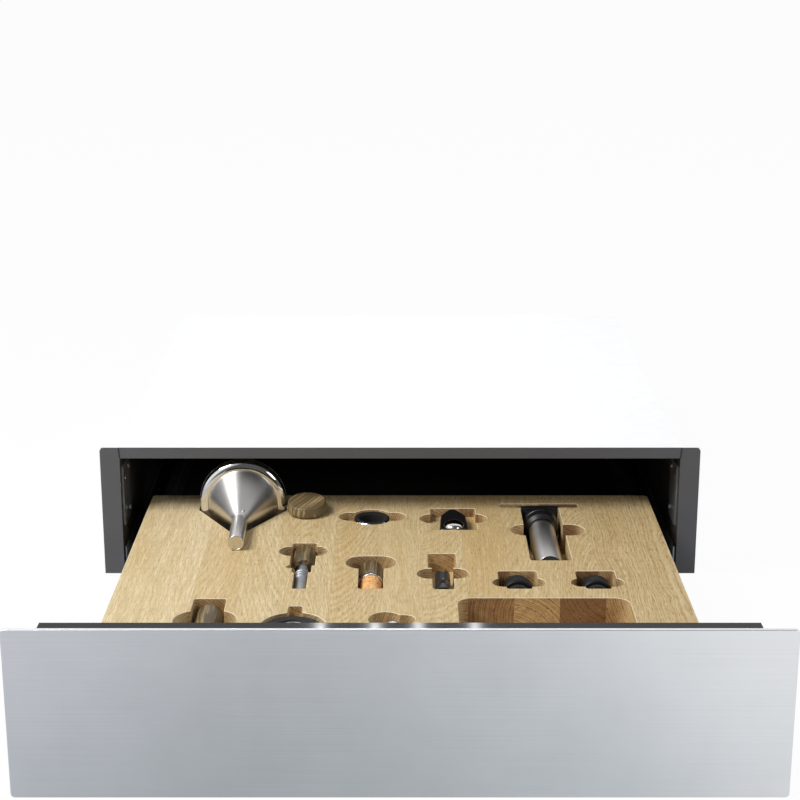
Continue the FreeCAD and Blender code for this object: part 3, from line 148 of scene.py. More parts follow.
def eased(corners: list[tuple[float, ...]], radius: float = 0.5 * MM, steps: int = 4) -> np.ndarray:
    """Round the inner corners of an open outline, each to an arc that is tangent to both sides.

    Args:
        corners: points of two numbers, with a third where a corner has its own radius.
        radius: radius of the other corners.
        steps: points on each arc, less one.
    Returns:
        An array of points, two numbers each.
    """
    points = np.array([corner[:2] for corner in corners], float)
    out = [points[:1]]
    for before, here, after, corner in zip(points, points[1:], points[2:], corners[1:]):
        wanted = corner[2] if len(corner) > 2 else radius
        back, ahead = before - here, after - here
        spans = np.linalg.norm(back), np.linalg.norm(ahead)
        back, ahead = back / spans[0], ahead / spans[1]
        half = math.acos(max(-1.0, min(1.0, float(back @ ahead)))) / 2
        if wanted <= 0 or not NEARLY_FOLDED <= half <= NEARLY_STRAIGHT:
            out.append(here[None])
            continue
        reach = min(wanted / math.tan(half), SIDE_SHARE * min(spans))
        true = reach * math.tan(half)
        centre = here + (back + ahead) / np.linalg.norm(back + ahead) * true / math.sin(half)
        first, last = here + back * reach - centre, here + ahead * reach - centre
        turn = np.linspace(0, 1, steps + 1)[:, None]
        spread = math.pi - 2 * half
        arc = (first * np.sin((1 - turn) * spread) + last * np.sin(turn * spread)) / math.sin(spread)
        out.append(centre + arc)
    out.append(points[-1:])
    return np.vstack(out)


def flowing(knots: Profile, steps: int = 8) -> np.ndarray:
    """A smooth curve through a few points, each span a Catmull-Rom cubic.

    Args:
        knots: the points, two numbers each.
        steps: points on each span.
    Returns:
        An array of points, two numbers each.
    """
    points = np.array(knots, float)
    padded = np.vstack([2 * points[0] - points[1], points, 2 * points[-1] - points[-2]])
    t = np.linspace(0, 1, steps, endpoint=False)[:, None]
    spans = [0.5 * (2 * b + (c - a) * t + (2 * a - 5 * b + 4 * c - d) * t ** 2
                    + (3 * b - a - 3 * c + d) * t ** 3)
             for a, b, c, d in zip(padded, padded[1:], padded[2:], padded[3:])]
    return np.vstack([*spans, points[-1:]])


def circle(steps: int, across: np.ndarray, over: np.ndarray) -> np.ndarray:
    """Points round an ellipse: one half axis times the turn's cosine, plus the other times its sine.

    Args:
        steps: how many points.
        across, over: the two half axes, or an array of each.
    Returns:
        The points of each step, about the origin.
    """
    turn = np.linspace(0, 2 * math.pi, steps, endpoint=False)
    return np.multiply.outer(np.cos(turn), across) + np.multiply.outer(np.sin(turn), over)


def cells(grid: np.ndarray) -> np.ndarray:
    """The four corners of each cell of a grid, in their order round it."""
    return np.stack([grid[:-1, :-1], grid[1:, :-1], grid[1:, 1:], grid[:-1, 1:]], 2)


def surface(name: str, points: np.ndarray, u: np.ndarray, v: np.ndarray, closed: bool = False,
            sharp: float = HARD_EDGE) -> bpy.types.Object:
    """A surface over a grid of points, which joins up round the grid's first direction.

    Args:
        name: the object's name.
        points: a grid of points, u by v by 3.
        u, v: the UV place of each grid line, with one more than the points where they join up.
        closed: whether the surface joins up in the second direction too.
        sharp: the angle in degrees past which an edge shades hard.
    Returns:
        The object, with a UV map called turn.
    """
    count_u, count_v = points.shape[:2]
    index = np.arange(count_u * count_v).reshape(count_u, count_v)
    index = np.vstack([index, index[:1]])
    if closed:
        index = np.hstack([index, index[:, :1]])
    places = cells(np.stack(np.meshgrid(u, v, indexing="ij"), -1))
    mesh = bpy.data.meshes.new(name)
    mesh.from_pydata(points.reshape(-1, 3), [], cells(index).reshape(-1, 4))
    mesh.uv_layers.new(name="turn").data.foreach_set("uv", places.astype(np.float32).ravel())
    return finished(name, mesh, sharp)


def finished(name: str, mesh: bpy.types.Mesh, sharp: float) -> bpy.types.Object:
    """Close a mesh's seams and poles, turn its faces outwards and shade it smooth.

    Args:
        name: the object's name.
        mesh: the mesh, with its place in its points.
        sharp: the angle in degrees past which an edge shades hard.
    Returns:
        The object in the scene.
    """
    editor = bmesh.new()
    editor.from_mesh(mesh)
    bmesh.ops.remove_doubles(editor, verts=editor.verts, dist=SAME_PLACE)
    bmesh.ops.dissolve_degenerate(editor, edges=editor.edges, dist=NO_LENGTH)
    bmesh.ops.recalc_face_normals(editor, faces=editor.faces)
    editor.to_mesh(mesh)
    editor.free()
    mesh.shade_smooth()
    mesh.set_sharp_from_angle(angle=math.radians(sharp))
    piece = bpy.data.objects.new(name, mesh)
    bpy.context.scene.collection.objects.link(piece)
    return piece


def lathe(name: str, profile: np.ndarray, axis: Axis, closed: bool = False,
          steps: int = 96) -> bpy.types.Object:
    """A turned piece: the profile's (radius, place along the axis) carried round the axis.

    Args:
        name: the object's name.
        profile: points of radius and place along the axis.
        axis: the line that it turns about.
        closed: whether the profile's last point joins its first, as on a ring.
        steps: points round the axis.
    Returns:
        The object, whose UV map unrolls it: u round the axis and v along the profile, in metres.
    """
    across, over, way = axis.frame()
    radius, along = profile[:, 0], profile[:, 1]
    ring = circle(steps, across, over)[:, None]
    points = np.array(axis.origin) + ring * radius[None, :, None] + along[None, :, None] * way
    ends = np.vstack([profile, profile[:1]]) if closed else profile
    run = np.concatenate([[0], np.cumsum(np.linalg.norm(np.diff(ends, axis=0), axis=1))])
    return surface(name, points, np.linspace(0, 2 * math.pi * radius.max(), steps + 1), run, closed)


def tube(name: str, path: np.ndarray, radius: float, closed: bool) -> bpy.types.Object:
    """A round wire along a path: a circle carried square to it.

    Args:
        name: the object's name.
        path: the points of the wire's middle line.
        radius: the wire's radius.
        closed: whether the wire joins its own start.
    Returns:
        The object.
    """
    way = np.roll(path, -1, 0) - np.roll(path, 1, 0) if closed else np.gradient(path, axis=0)
    way /= np.linalg.norm(way, axis=1)[:, None]
    no_wire_runs_this_way = np.array([0.31, 0.17, 0.93])
    across = np.cross(way, no_wire_runs_this_way)
    across /= np.linalg.norm(across, axis=1)[:, None]
    points = path[None] + radius * circle(WIRE_SIDES, across, np.cross(way, across))
    u = np.linspace(0, 2 * math.pi * radius, WIRE_SIDES + 1)
    return surface(name, points, u, np.linspace(0, 1, len(path) + int(closed)), closed)


def moulded(name: str, outline: np.ndarray, low: float, high: float, easing: float) -> bpy.types.Object:
    """A flat piece with rounded edges: its outline is drawn in along a quarter circle at both faces.

    Args:
        name: the object's name.
        outline: the plan's points, anticlockwise.
        low, high: heights of the two faces.
        easing: radius of the rounded edges.
    Returns:
        The object.
    """
    way = np.roll(outline, -1, 0) - np.roll(outline, 1, 0)
    normal = np.stack([way[:, 1], -way[:, 0]], 1)
    normal /= np.linalg.norm(normal, axis=1)[:, None]
    quarter = np.linspace(0, math.pi / 2, 6)
    rising, level = 1 - np.sin(quarter), 1 - np.cos(quarter)
    inset = easing * np.concatenate([rising, level])
    height = np.concatenate([low + easing * level, high - easing * rising])
    rings = [np.column_stack([outline - normal * d, np.full(len(outline), z)])
             for d, z in zip(inset, height)]
    poles = [np.tile([*outline.mean(0), z], (len(outline), 1)) for z in (low, high)]
    points = np.stack([poles[0], *rings, poles[1]], 1)
    u, v = np.arange(len(outline) + 1.0), np.arange(points.shape[1] * 1.0)
    return surface(name, points, u, v, sharp=50)


# Materials


def shaded(colour: tuple, by: float, lift: float = 0.0) -> tuple:
    """A colour made darker or lighter by a factor, and lifted by a little."""
    return (*(min(1.0, by * part + lift) for part in colour[:3]), 1.0)


def grey(level: float) -> tuple:
    """A grey of one linear level."""
    return (level, level, level, 1.0)


class Graph:
    """A material's nodes, added and joined by short calls."""

    def __init__(self, name: str, tree: bpy.types.NodeTree | None = None) -> None:
        """Start an empty material with its output node, or clear a world's tree.

        Args:
            name: the material's name.
            tree: the world's tree, where it isn't a material.
        """
        kind = "ShaderNodeOutputWorld" if tree else "ShaderNodeOutputMaterial"
        if tree is None:
            self.material = bpy.data.materials.new(name)
            self.material.use_nodes = True
            tree = self.material.node_tree
        self.tree = tree
        self.tree.nodes.clear()
        self.output = self.tree.nodes.new(kind)

    def add(self, kind: str, sockets: dict | None = None, **settings: object) -> bpy.types.Node:
        """Add a node.

        Args:
            kind: the node's type, without its ShaderNode prefix.
            sockets: values or sockets for its inputs, by name or number.
            settings: the node's own properties.
        Returns:
            The node.
        """
        made = self.tree.nodes.new("ShaderNode" + kind)
        for name, value in settings.items():
            setattr(made, name, value)
        for key, value in (sockets or {}).items():
            if isinstance(value, bpy.types.NodeSocket):
                self.tree.links.new(value, made.inputs[key])
            else:
                made.inputs[key].default_value = value
        return made

    def math(self, operation: str, *values: object) -> bpy.types.NodeSocket:
        """The result of one arithmetic operation on numbers or sockets."""
        return self.add("Math", dict(enumerate(values)), operation=operation).outputs[0]

    def plus(self, *values: object) -> object:
        """The sum of numbers or sockets."""
        return reduce(partial(self.math, "ADD"), values)

    def times(self, *values: object) -> object:
        """The product of numbers or sockets."""
        return reduce(partial(self.math, "MULTIPLY"), values)

    def most(self, *values: object) -> object:
        """The greatest of numbers or sockets."""
        return reduce(partial(self.math, "MAXIMUM"), values)

    def minus(self, value: object, less: object) -> object:
        """The difference of two numbers or sockets."""
        return self.math("SUBTRACT", value, less)

    def apart(self, value: object, centre: object) -> object:
        """How far a value is from another."""
        return self.math("ABSOLUTE", self.minus(value, centre))

    def past(self, value: object, bound: float) -> object:
        """1 where a value is past a bound, and 0 before it."""
        return self.math("GREATER_THAN", value, bound)

    def short(self, value: object, bound: float) -> object:
        """1 where a value is short of a bound, and 0 past it."""
        return self.math("LESS_THAN", value, bound)

    def split(self, vector: object) -> object:
        """The X, Y and Z of a vector."""
        return self.add("SeparateXYZ", {0: vector}).outputs

    def join(self, *values: object) -> object:
        """A vector of its X, Y and Z."""
        return self.add("CombineXYZ", dict(enumerate(values))).outputs[0]

    def place(self, scale: Colour = (1, 1, 1), source: str = "Object") -> bpy.types.NodeSocket:
        """The surface's place, stretched by a scale for each axis.

        Args:
            scale: the stretch along X, Y and Z.
            source: which coordinates, Object or UV.
        Returns:
            The place's socket.
        """
        coordinates = self.add("TexCoord").outputs[source]
        stretch = self.add("VectorMath", {0: coordinates, 1: scale}, operation="MULTIPLY")
        return stretch.outputs[0]

    def noise(self, vector: object, scale: float, detail: float = 3, rough: float = 0.5) -> object:
        """A smooth noise from 0 to 1 at a place."""
        return self.add("TexNoise", {"Vector": vector, "Scale": scale, "Detail": detail,
                                     "Roughness": rough}).outputs["Fac"]

    def flakes(self, vector: object, scale: float) -> object:
        """A colour for each cell that a place falls in."""
        return self.add("TexVoronoi", {"Vector": vector, "Scale": scale}).outputs["Color"]

    def ramp(self, factor: object, *stops: tuple[float, tuple], stepped: bool = False) -> object:
        """A colour that changes along a factor between stops of place and colour, or in steps.

        Args:
            factor: what the colour follows.
            stops: each a place from 0 to 1 and a colour.
            stepped: whether a colour holds up to the next stop.
        Returns:
            The colour's socket.
        """
        made = self.add("ValToRGB", {0: factor})
        made.color_ramp.interpolation = "CONSTANT" if stepped else "LINEAR"
        elements = made.color_ramp.elements
        while len(elements) < len(stops):
            elements.new(0.5)
        for element, (where, colour) in zip(elements, stops):
            element.position = where
            element.color = colour
        return made.outputs[0]

    def span(self, value: object, low: float, high: float, to_low: float = 0,
             to_high: float = 1) -> object:
        """A value's share between two bounds, clamped and carried to two others."""
        sockets = {0: value, 1: low, 2: high, 3: to_low, 4: to_high}
        return self.add("MapRange", sockets, clamp=True).outputs[0]

    def mix(self, factor: object, first: object, second: object, blend: str = "MIX") -> object:
        """Two colours mixed by a factor."""
        made = self.add("Mix", {0: factor, 6: first, 7: second}, data_type="RGBA", blend_type=blend)
        return made.outputs[2]

    def bump(self, height: object, distance: float) -> object:
        """A normal from a height from 0 to 1 that stands for a distance."""
        return self.add("Bump", {"Height": height, "Distance": distance, "Strength": 1.0}).outputs[0]

    def end(self, shader: bpy.types.Node) -> None:
        """Join a shader to the output."""
        self.tree.links.new(shader.outputs[0], self.output.inputs["Surface"])

    def shade(self, **sockets: object) -> bpy.types.Material:
        """Finish the material with a principled shader, whose inputs are given with underscores.

        Args:
            sockets: the shader's inputs.
        Returns:
            The material.
        """
        named = {key.replace("_", " "): value for key, value in sockets.items()}
        self.end(self.add("BsdfPrincipled", named))
        return self.material


class Brush(Enum):
    """Which way the fine lines of a metal's finish run, as the stretch of their noise."""

    ALONG_X = (6.0, 1600.0, 1600.0)
    ROUND = (12.0, 2600.0, 1.0)
    POLISHED = (40.0, 40.0, 40.0)


@dataclass(frozen=True)
class Metal:
    """Bare metal: fine lines or a polish, with a little dullness that comes and goes."""

    name: str
    colour: tuple
    rough: float
    brush: Brush = Brush.POLISHED
    line_depth: float = 0.0
    uneven: float = 0.25
    stretch: float = 0.0

    def material(self) -> bpy.types.Material:
        """Build the finish.

        Returns:
            The material.
        """
        graph = Graph(self.name)
        source = "UV" if self.brush is Brush.ROUND else "Object"
        lines = graph.noise(graph.place(self.brush.value, source), 1.0, 4, 0.6)
        cloud = graph.noise(graph.place(), 22, 3, 0.55)
        blend = graph.plus(graph.times(lines, 0.6), graph.times(cloud, 0.4))
        low, high = self.rough * (1 - self.uneven), self.rough * (1 + self.uneven)
        rough = graph.span(blend, 0.3, 0.7, low, high)
        darker, lighter = shaded(self.colour, 0.93), shaded(self.colour, 1.05)
        sockets = {"Base_Color": graph.mix(graph.span(blend, 0.3, 0.7), darker, lighter),
                   "Metallic": 1.0, "Roughness": rough, "Anisotropic": self.stretch}
        if self.line_depth:
            sockets["Normal"] = graph.bump(lines, self.line_depth)
        if self.brush is Brush.ROUND:
            tangent = graph.add("Tangent", direction_type="UV_MAP", uv_map="turn")
            sockets["Tangent"] = tangent.outputs[0]
            sockets["Anisotropic_Rotation"] = 0.25
        return graph.shade(**sockets)


@dataclass(frozen=True)
class Zinc:
    """Zinc-plated sheet and screws: a pale, slightly cloudy metal."""

    name: str = "zinc_plated"
    colour: tuple = tint(176, 179, 182)
    cloudy: tuple = tint(150, 154, 160)

    def material(self) -> bpy.types.Material:
        """Build the finish.

        Returns:
            The material.
        """
        graph = Graph(self.name)
        place = graph.place()
        cloud = graph.noise(place, 40, 4)
        pale = graph.mix(0.12, self.colour, graph.flakes(place, 260), "SOFT_LIGHT")
        colour = graph.mix(graph.span(cloud, 0.35, 0.65), pale, self.cloudy)
        rough = graph.span(cloud, 0.3, 0.7, 0.42, 0.6)
        return graph.shade(Base_Color=colour, Metallic=1.0, Roughness=rough,
                           Normal=graph.bump(cloud, 0.02 * MM))


@dataclass(frozen=True)
class CasingPaint:
    """The casing's sheet: grey paint on the front frame, dark paint inside, bare galvanising outside."""

    name: str = "casing_sheet"
    frame: tuple = tint(93, 94, 97)
    frame_cloud: tuple = tint(90, 91, 94)
    inside: tuple = tint(66, 62, 60)
    spangle: tuple = tint(253, 254, 255)
    spangle_dark: tuple = tint(250, 251, 252)
    frame_depth: float = 1.2 * MM
    side: float = 279.7 * MM
    return_side: float = 281.2 * MM
    roof: float = 133.7 * MM
    back: float = 526.7 * MM
    bottom: float = 0.3 * MM

    def material(self) -> bpy.types.Material:
        """Build the finish: which face of the sheet it is comes from where the face lies.

        Returns:
            The material.
        """
        graph = Graph(self.name)
        place = graph.place()
        x, y, z = graph.split(place)
        across = graph.math("ABSOLUTE", x)
        outer = graph.most(graph.past(across, self.side), graph.past(z, self.roof),
                           graph.past(y, self.back), graph.short(z, self.bottom))
        front = graph.most(graph.short(y, self.frame_depth), graph.past(across, self.return_side))
        bare = graph.times(outer, graph.minus(1.0, front))
        cloud = graph.noise(place, 30, 4)
        tone = graph.add("SeparateColor", {0: graph.flakes(place, 120)}).outputs[0]
        frame_paint = graph.mix(graph.span(cloud, 0.3, 0.7), self.frame, self.frame_cloud)
        painted = graph.mix(front, self.inside, frame_paint)
        galvanised = graph.mix(tone, self.spangle_dark, self.spangle)
        rough = graph.minus(graph.span(cloud, 0.3, 0.7, 0.5, 0.6), graph.times(bare, 0.08))
        return graph.shade(Base_Color=graph.mix(bare, painted, galvanised), Metallic=bare,
                           Roughness=rough, Normal=graph.bump(cloud, 0.03 * MM),
                           Specular_IOR_Level=0.2)


@dataclass(frozen=True)
class Plastic:
    """Moulded plastic or rubber: one colour with a fine grain and a little wear in its sheen."""

    name: str
    colour: tuple
    rough: float
    grain: float
    grain_scale: float
    coat: float = 0.0
    ior: float = 1.5

    def material(self) -> bpy.types.Material:
        """Build the finish.

        Returns:
            The material.
        """
        graph = Graph(self.name)
        place = graph.place()
        fine = graph.noise(place, self.grain_scale, 2)
        cloud = graph.noise(place, 60, 4)
        worn = shaded(self.colour, 1.25, 0.0015)
        colour = graph.mix(graph.span(cloud, 0.35, 0.7), self.colour, worn)
        rough = graph.span(cloud, 0.3, 0.7, self.rough * 0.85, self.rough * 1.15)
        return graph.shade(Base_Color=colour, Roughness=rough, Normal=graph.bump(fine, self.grain),
                           Coat_Weight=self.coat, Coat_Roughness=0.05, IOR=self.ior)


@dataclass(frozen=True)
class Stave:
    """One stave of the tray: its colour, its pith's place in millimetres, and how its rings show."""

    warmth: float
    end: float
    pith: float
    depth: float
    lean: float
    figure: float


@dataclass(frozen=True)
class Oak:
    """Solid oak glued up from staves, in millimetres: each has rings about its own pith, and pores."""

    name: str = "oak_staves"
    stave: float = 40.7
    first_seam: float = -265.5
    ring: float = 2.4
    # A pale tone painted on the 45-degree chamfers as a highlight, which stands in for the light line
    # along the pocket edges.
    pale: tuple = tint(238, 223, 186)
    painted_chamfer_light: tuple = tint(250, 238, 210)
    warm: tuple = tint(212, 184, 131)
    late: tuple = tint(172, 142, 92)
    pore: tuple = tint(124, 96, 56)
    end: tuple = tint(224, 194, 146)
    end_warm: tuple = tint(206, 168, 114)
    end_dark: tuple = tint(142, 106, 72)
    end_pore: tuple = tint(88, 56, 30)
    staves: tuple = (
        Stave(0.15, 0.2, -70, 20, 0.03, 0.15), Stave(0.1, 0.2, 60, -30, 0.05, 0.15),
        Stave(0.5, 0.3, -45, 5, 0.1, 0.3), Stave(0.25, 0.4, 40, -20, 0.1, 0.35),
        Stave(0.35, 0.3, -2, 80, 0.11, 0.4), Stave(0.6, 0.4, -24, 10, 0.16, 0.45),
        Stave(0.5, 0.2, 60, 30, 0.02, 0.3), Stave(0.5, 0.3, -20, 0, 0.2, 0.4),
        Stave(0.85, 0.7, 70, 46, 0.04, 0.4), Stave(0.6, 0.15, -30, 10, 0.1, 0.4),
        Stave(0.6, 1.0, 34, 92, 0.2, 0.6), Stave(0.6, 0.35, 60, 84, 0.01, 0.8),
        Stave(0.55, 0.35, 20, 92, 0.01, 0.8), Stave(0.6, 0.35, -20, 92, 0.01, 0.8))

    def look_up(self, graph: Graph, lane: object, *columns: tuple[str, float]) -> list:
        """Three numbers of the stave that a lane belongs to, each from -1 to 1.

        The numbers are the three channels of a stepped ramp, halved and raised by a half.

        Args:
            graph: the material.
            lane: the stave's number.
            columns: each number's name in Stave, and what it is divided by.
        Returns:
            The numbers' sockets.
        """
        rows = [[getattr(stave, name) / unit for name, unit in columns] for stave in self.staves]
        count = len(self.staves)
        stops = [(at / count, (*(value / 2 + 0.5 for value in row), 1.0))
                 for at, row in enumerate(rows)]
        steps = graph.ramp(graph.math("DIVIDE", graph.plus(lane, 0.5), count), *stops, stepped=True)
        channels = graph.add("SeparateColor", {0: steps}).outputs
        return [graph.span(channel, 0, 1, -1, 1) for channel in channels[:3]]

    def flow(self, graph: Graph, lane: object) -> tuple:
        """The place in millimetres, its X bent along the grain by a slow noise of each stave's own.

        Args:
            graph: the material's nodes.
            lane: the stave's number.
        Returns:
            The sockets of X, Y and Z.
        """
        apart = graph.join(graph.times(lane, 5.7))
        shifted = graph.add("VectorMath", {0: graph.place((7, 7, 7)), 1: apart}, operation="ADD")
        shifted = shifted.outputs[0]
        slow = graph.span(graph.noise(shifted, 1.0, 2), 0.25, 0.75, -4, 4)
        quick = graph.span(graph.noise(shifted, 5.0, 2), 0.25, 0.75, -0.9, 0.9)
        x, y, z = graph.split(graph.place((1000, 1000, 1000)))
        return graph.plus(x, graph.plus(slow, quick)), y, z

    def streaks(self, graph: Graph, flow: tuple, lane: object, width: float, length: float,
                detail: float, rough: float = 0.5) -> object:
        """A noise drawn out along the grain, whose spots are so wide and so long in millimetres.

        Args:
            graph: the material's nodes.
            flow: the place, bent along the grain.
            lane: the stave's number.
            width, length: the spots' size.
            detail, rough: the noise's detail and roughness.
        Returns:
            The noise's socket, from 0 to 1.
        """
        x, y, z = (graph.math("DIVIDE", value, by) for value, by in zip(flow, (width, length, width)))
        place = graph.join(graph.plus(x, graph.times(lane, 17.3)), y, z)
        return graph.noise(place, 1.0, detail, rough)

    def ring_phase(self, graph: Graph, flow: tuple, lane: object) -> object:
        """How far through a ring a place is: the distance from the pith in rings, unevenly spaced.

        Args:
            graph: the material's nodes.
            flow: the place, bent along the grain.
            lane: the stave's number.
        Returns:
            The phase's socket, from 0 to 1.
        """
        pith, depth, lean = self.look_up(graph, lane, ("pith", 100), ("depth", 100), ("lean", 1))
        middle = graph.times(graph.plus(lane, 0.5), self.stave)
        from_middle = graph.minus(graph.minus(flow[0], self.first_seam), middle)
        dx = graph.minus(from_middle, graph.times(pith, 100))
        rise = graph.times(graph.plus(flow[1], 150), lean)
        dz = graph.minus(graph.minus(flow[2], graph.times(depth, 100)), rise)
        squares = graph.plus(graph.times(dx, dx), graph.times(dz, dz))
        rings = graph.math("DIVIDE", graph.math("SQRT", squares), self.ring)
        uneven = graph.times(graph.noise(graph.join(rings, lane), 0.45, 3), 3.0)
        ragged = graph.span(self.streaks(graph, flow, lane, 1.6, 14, 2), 0.25, 0.75, -0.22, 0.22)
        return graph.math("FRACT", graph.plus(rings, uneven, ragged))

    def face(self, graph: Graph, flow: tuple, lane: object, early: object, warmth: object,
             figure: object) -> tuple:
        """The colour of long grain, and the depth of its pores.

        Args:
            graph: the material's nodes.
            flow: the place, bent along the grain.
            lane: the stave's number.
            early: 1 in early wood and 0 in late wood.
            warmth, figure: the stave's own numbers.
        Returns:
            The sockets of the colour and the height.
        """
        broad = self.streaks(graph, flow, lane, 14, 160, 3, 0.55)
        band = self.streaks(graph, flow, lane, 2.6, 70, 3, 0.6)
        fibre = self.streaks(graph, flow, lane, 0.7, 22, 4, 0.7)
        pores = graph.span(self.streaks(graph, flow, lane, 0.5, 9, 2), 0.52, 0.66)
        flecks = graph.span(self.streaks(graph, flow, lane, 3.5, 16, 2), 0.62, 0.74)
        base = graph.mix(warmth, self.pale, self.warm)
        toned = graph.mix(graph.span(broad, 0.3, 0.7, -0.25, 0.55), base, self.warm)
        banded = graph.mix(graph.span(band, 0.35, 0.7, 0, 0.4), toned, self.late)
        ringed = graph.mix(graph.times(early, graph.times(figure, 0.75)), banded, self.late)
        streaked = graph.mix(graph.span(fibre, 0.4, 0.72, 0, 0.75), ringed, self.late)
        crowd = graph.times(graph.plus(graph.times(early, figure), 0.25), pores)
        open_pores = graph.math("MINIMUM", crowd, 0.7)
        pored = graph.mix(open_pores, streaked, self.pore)
        flecked = graph.mix(graph.times(flecks, 0.3), pored, self.pale)
        return flecked, graph.minus(fibre, open_pores)

    def cross(self, graph: Graph, early: object, warmth: object, end: object) -> object:
        """The colour of end grain: darker, with the rings as rows of pores.

        Args:
            graph: the material's nodes.
            early: 1 in early wood and 0 in late wood.
            warmth, end: the stave's own numbers.
        Returns:
            The colour's socket.
        """
        dots = graph.span(graph.noise(graph.place((1400, 60, 1400)), 1.0, 2), 0.4, 0.6)
        cloud = graph.span(graph.noise(graph.place((160, 60, 160)), 1.0, 3), 0.3, 0.7, -0.1, 0.25)
        lit = graph.mix(warmth, self.end, self.end_warm)
        base = graph.mix(graph.plus(end, cloud), lit, self.end_dark)
        rows = graph.times(early, graph.plus(graph.times(dots, 0.7), 0.2))
        return graph.mix(rows, base, self.end_pore)

    def material(self) -> bpy.types.Material:
        """Build the finish: long grain or end grain by where a face looks, seams between staves, and a
        painted highlight on the chamfers.

        Returns:
            The material.
        """
        graph = Graph(self.name)
        x = graph.split(graph.place((1000, 1000, 1000)))[0]
        lanes = graph.math("DIVIDE", graph.minus(x, self.first_seam), self.stave)
        lane = graph.math("FLOOR", lanes)
        warmth, end, figure = self.look_up(graph, lane, ("warmth", 1), ("end", 1), ("figure", 1))
        flow = self.flow(graph, lane)
        phase = self.ring_phase(graph, flow, lane)
        early = graph.ramp(phase, (0.0, grey(1)), (0.22, grey(0.75)), (0.45, grey(0.08)),
                           (0.8, grey(0)), (1.0, grey(1)))
        long_grain, height = self.face(graph, flow, lane, early, warmth, figure)
        end_grain = self.cross(graph, early, warmth, end)
        facing, upward = graph.split(graph.add("NewGeometry").outputs["True Normal"])[1:]
        turned = graph.span(graph.math("ABSOLUTE", facing), 0.5, 0.95)
        plain = graph.mix(turned, long_grain, end_grain)
        # Painted highlight: faces that lean at 45 degrees, the chamfers round the pockets, are mixed
        # towards a pale tone.
        chamfer_light_share = graph.math("COMPARE", upward, math.sqrt(0.5), 0.12)
        wood = graph.mix(graph.times(chamfer_light_share, 0.7), plain, self.painted_chamfer_light)
        from_middle = graph.apart(graph.math("FRACT", lanes), 0.5)
        colour = graph.mix(graph.span(from_middle, 0.493, 0.4995, 0, 0.35), wood, self.pore)
        return graph.shade(Base_Color=colour, Roughness=graph.span(height, 0.0, 0.7, 0.62, 0.45),
                           Normal=graph.bump(height, 0.06 * MM), Specular_IOR_Level=0.3)


@dataclass(frozen=True)
class StripedWood:
    """A dark turned wood with lengthwise stripes, which a turn lays slantwise."""

    name: str
    dark: tuple
    light: tuple
    across: float = 420.0
    down: float = 420.0
    turn: float = 0.0

    def material(self) -> bpy.types.Material:
        """Build the finish.

        Returns:
            The material.
        """
        graph = Graph(self.name)
        coordinates = graph.add("TexCoord").outputs["Object"]
        grain = graph.add("Mapping", {"Vector": coordinates, "Rotation": (0, 0, self.turn)})
        scale = (self.across, 14, self.down)
        turned = graph.add("Mapping", {"Vector": grain.outputs[0], "Scale": scale}).outputs[0]
        stripe = graph.noise(turned, 1.0, 2, 0.45)
        fine = graph.noise(turned, 5.0, 3, 0.6)
        blend = graph.plus(graph.times(stripe, 0.75), graph.times(fine, 0.25))
        colour = graph.ramp(graph.span(blend, 0.36, 0.64), (0.0, self.dark), (0.55, self.dark),
                            (0.8, self.light), (1.0, self.light))
        soft = graph.mix(graph.span(fine, 0.3, 0.7, 0.1, 0.45), colour, self.dark)
        return graph.shade(Base_Color=soft, Roughness=graph.span(fine, 0.3, 0.7, 0.3, 0.45),
                           Normal=graph.bump(fine, 0.03 * MM), Coat_Weight=0.1,
                           Coat_Roughness=0.2)


@dataclass(frozen=True)
class Cork:
    """Natural cork: warm, with dark lenticels and crumbs."""

    name: str = "natural_cork"
    crumb: tuple = tint(168, 108, 56)
    pit: tuple = tint(104, 60, 26)

    def material(self) -> bpy.types.Material:
        """Build the finish.

        Returns:
            The material.
        """
        graph = Graph(self.name)
        place = graph.place()
        cloud = graph.noise(place, 260, 5, 0.6)
        crumbs = graph.add("TexVoronoi", {"Vector": place, "Scale": 700.0}).outputs["Distance"]
        pits = graph.span(graph.noise(graph.place((600, 220, 600)), 1.0, 3), 0.6, 0.7)
        base = graph.ramp(cloud, (0.3, tint(214, 148, 84)), (0.55, tint(240, 186, 122)),
                          (0.75, tint(248, 212, 158)))
        grained = graph.mix(graph.span(crumbs, 0.0, 0.5, 0.25, 0), base, self.crumb)
        return graph.shade(Base_Color=graph.mix(pits, grained, self.pit), Roughness=0.75,
                           Normal=graph.bump(graph.minus(cloud, pits), 0.15 * MM))


@dataclass(frozen=True)
class Fibre:
    """A short-fibred sheet, such as felt or raw board."""

    name: str
    dark: tuple
    light: tuple
    scale: float

    def material(self) -> bpy.types.Material:
        """Build the finish.

        Returns:
            The material.
        """
        graph = Graph(self.name)
        fuzz = graph.noise(graph.place(), self.scale, 5, 0.7)
        colour = graph.mix(graph.span(fuzz, 0.3, 0.7), self.dark, self.light)
        return graph.shade(Base_Color=colour, Roughness=0.95, Normal=graph.bump(fuzz, 0.1 * MM))


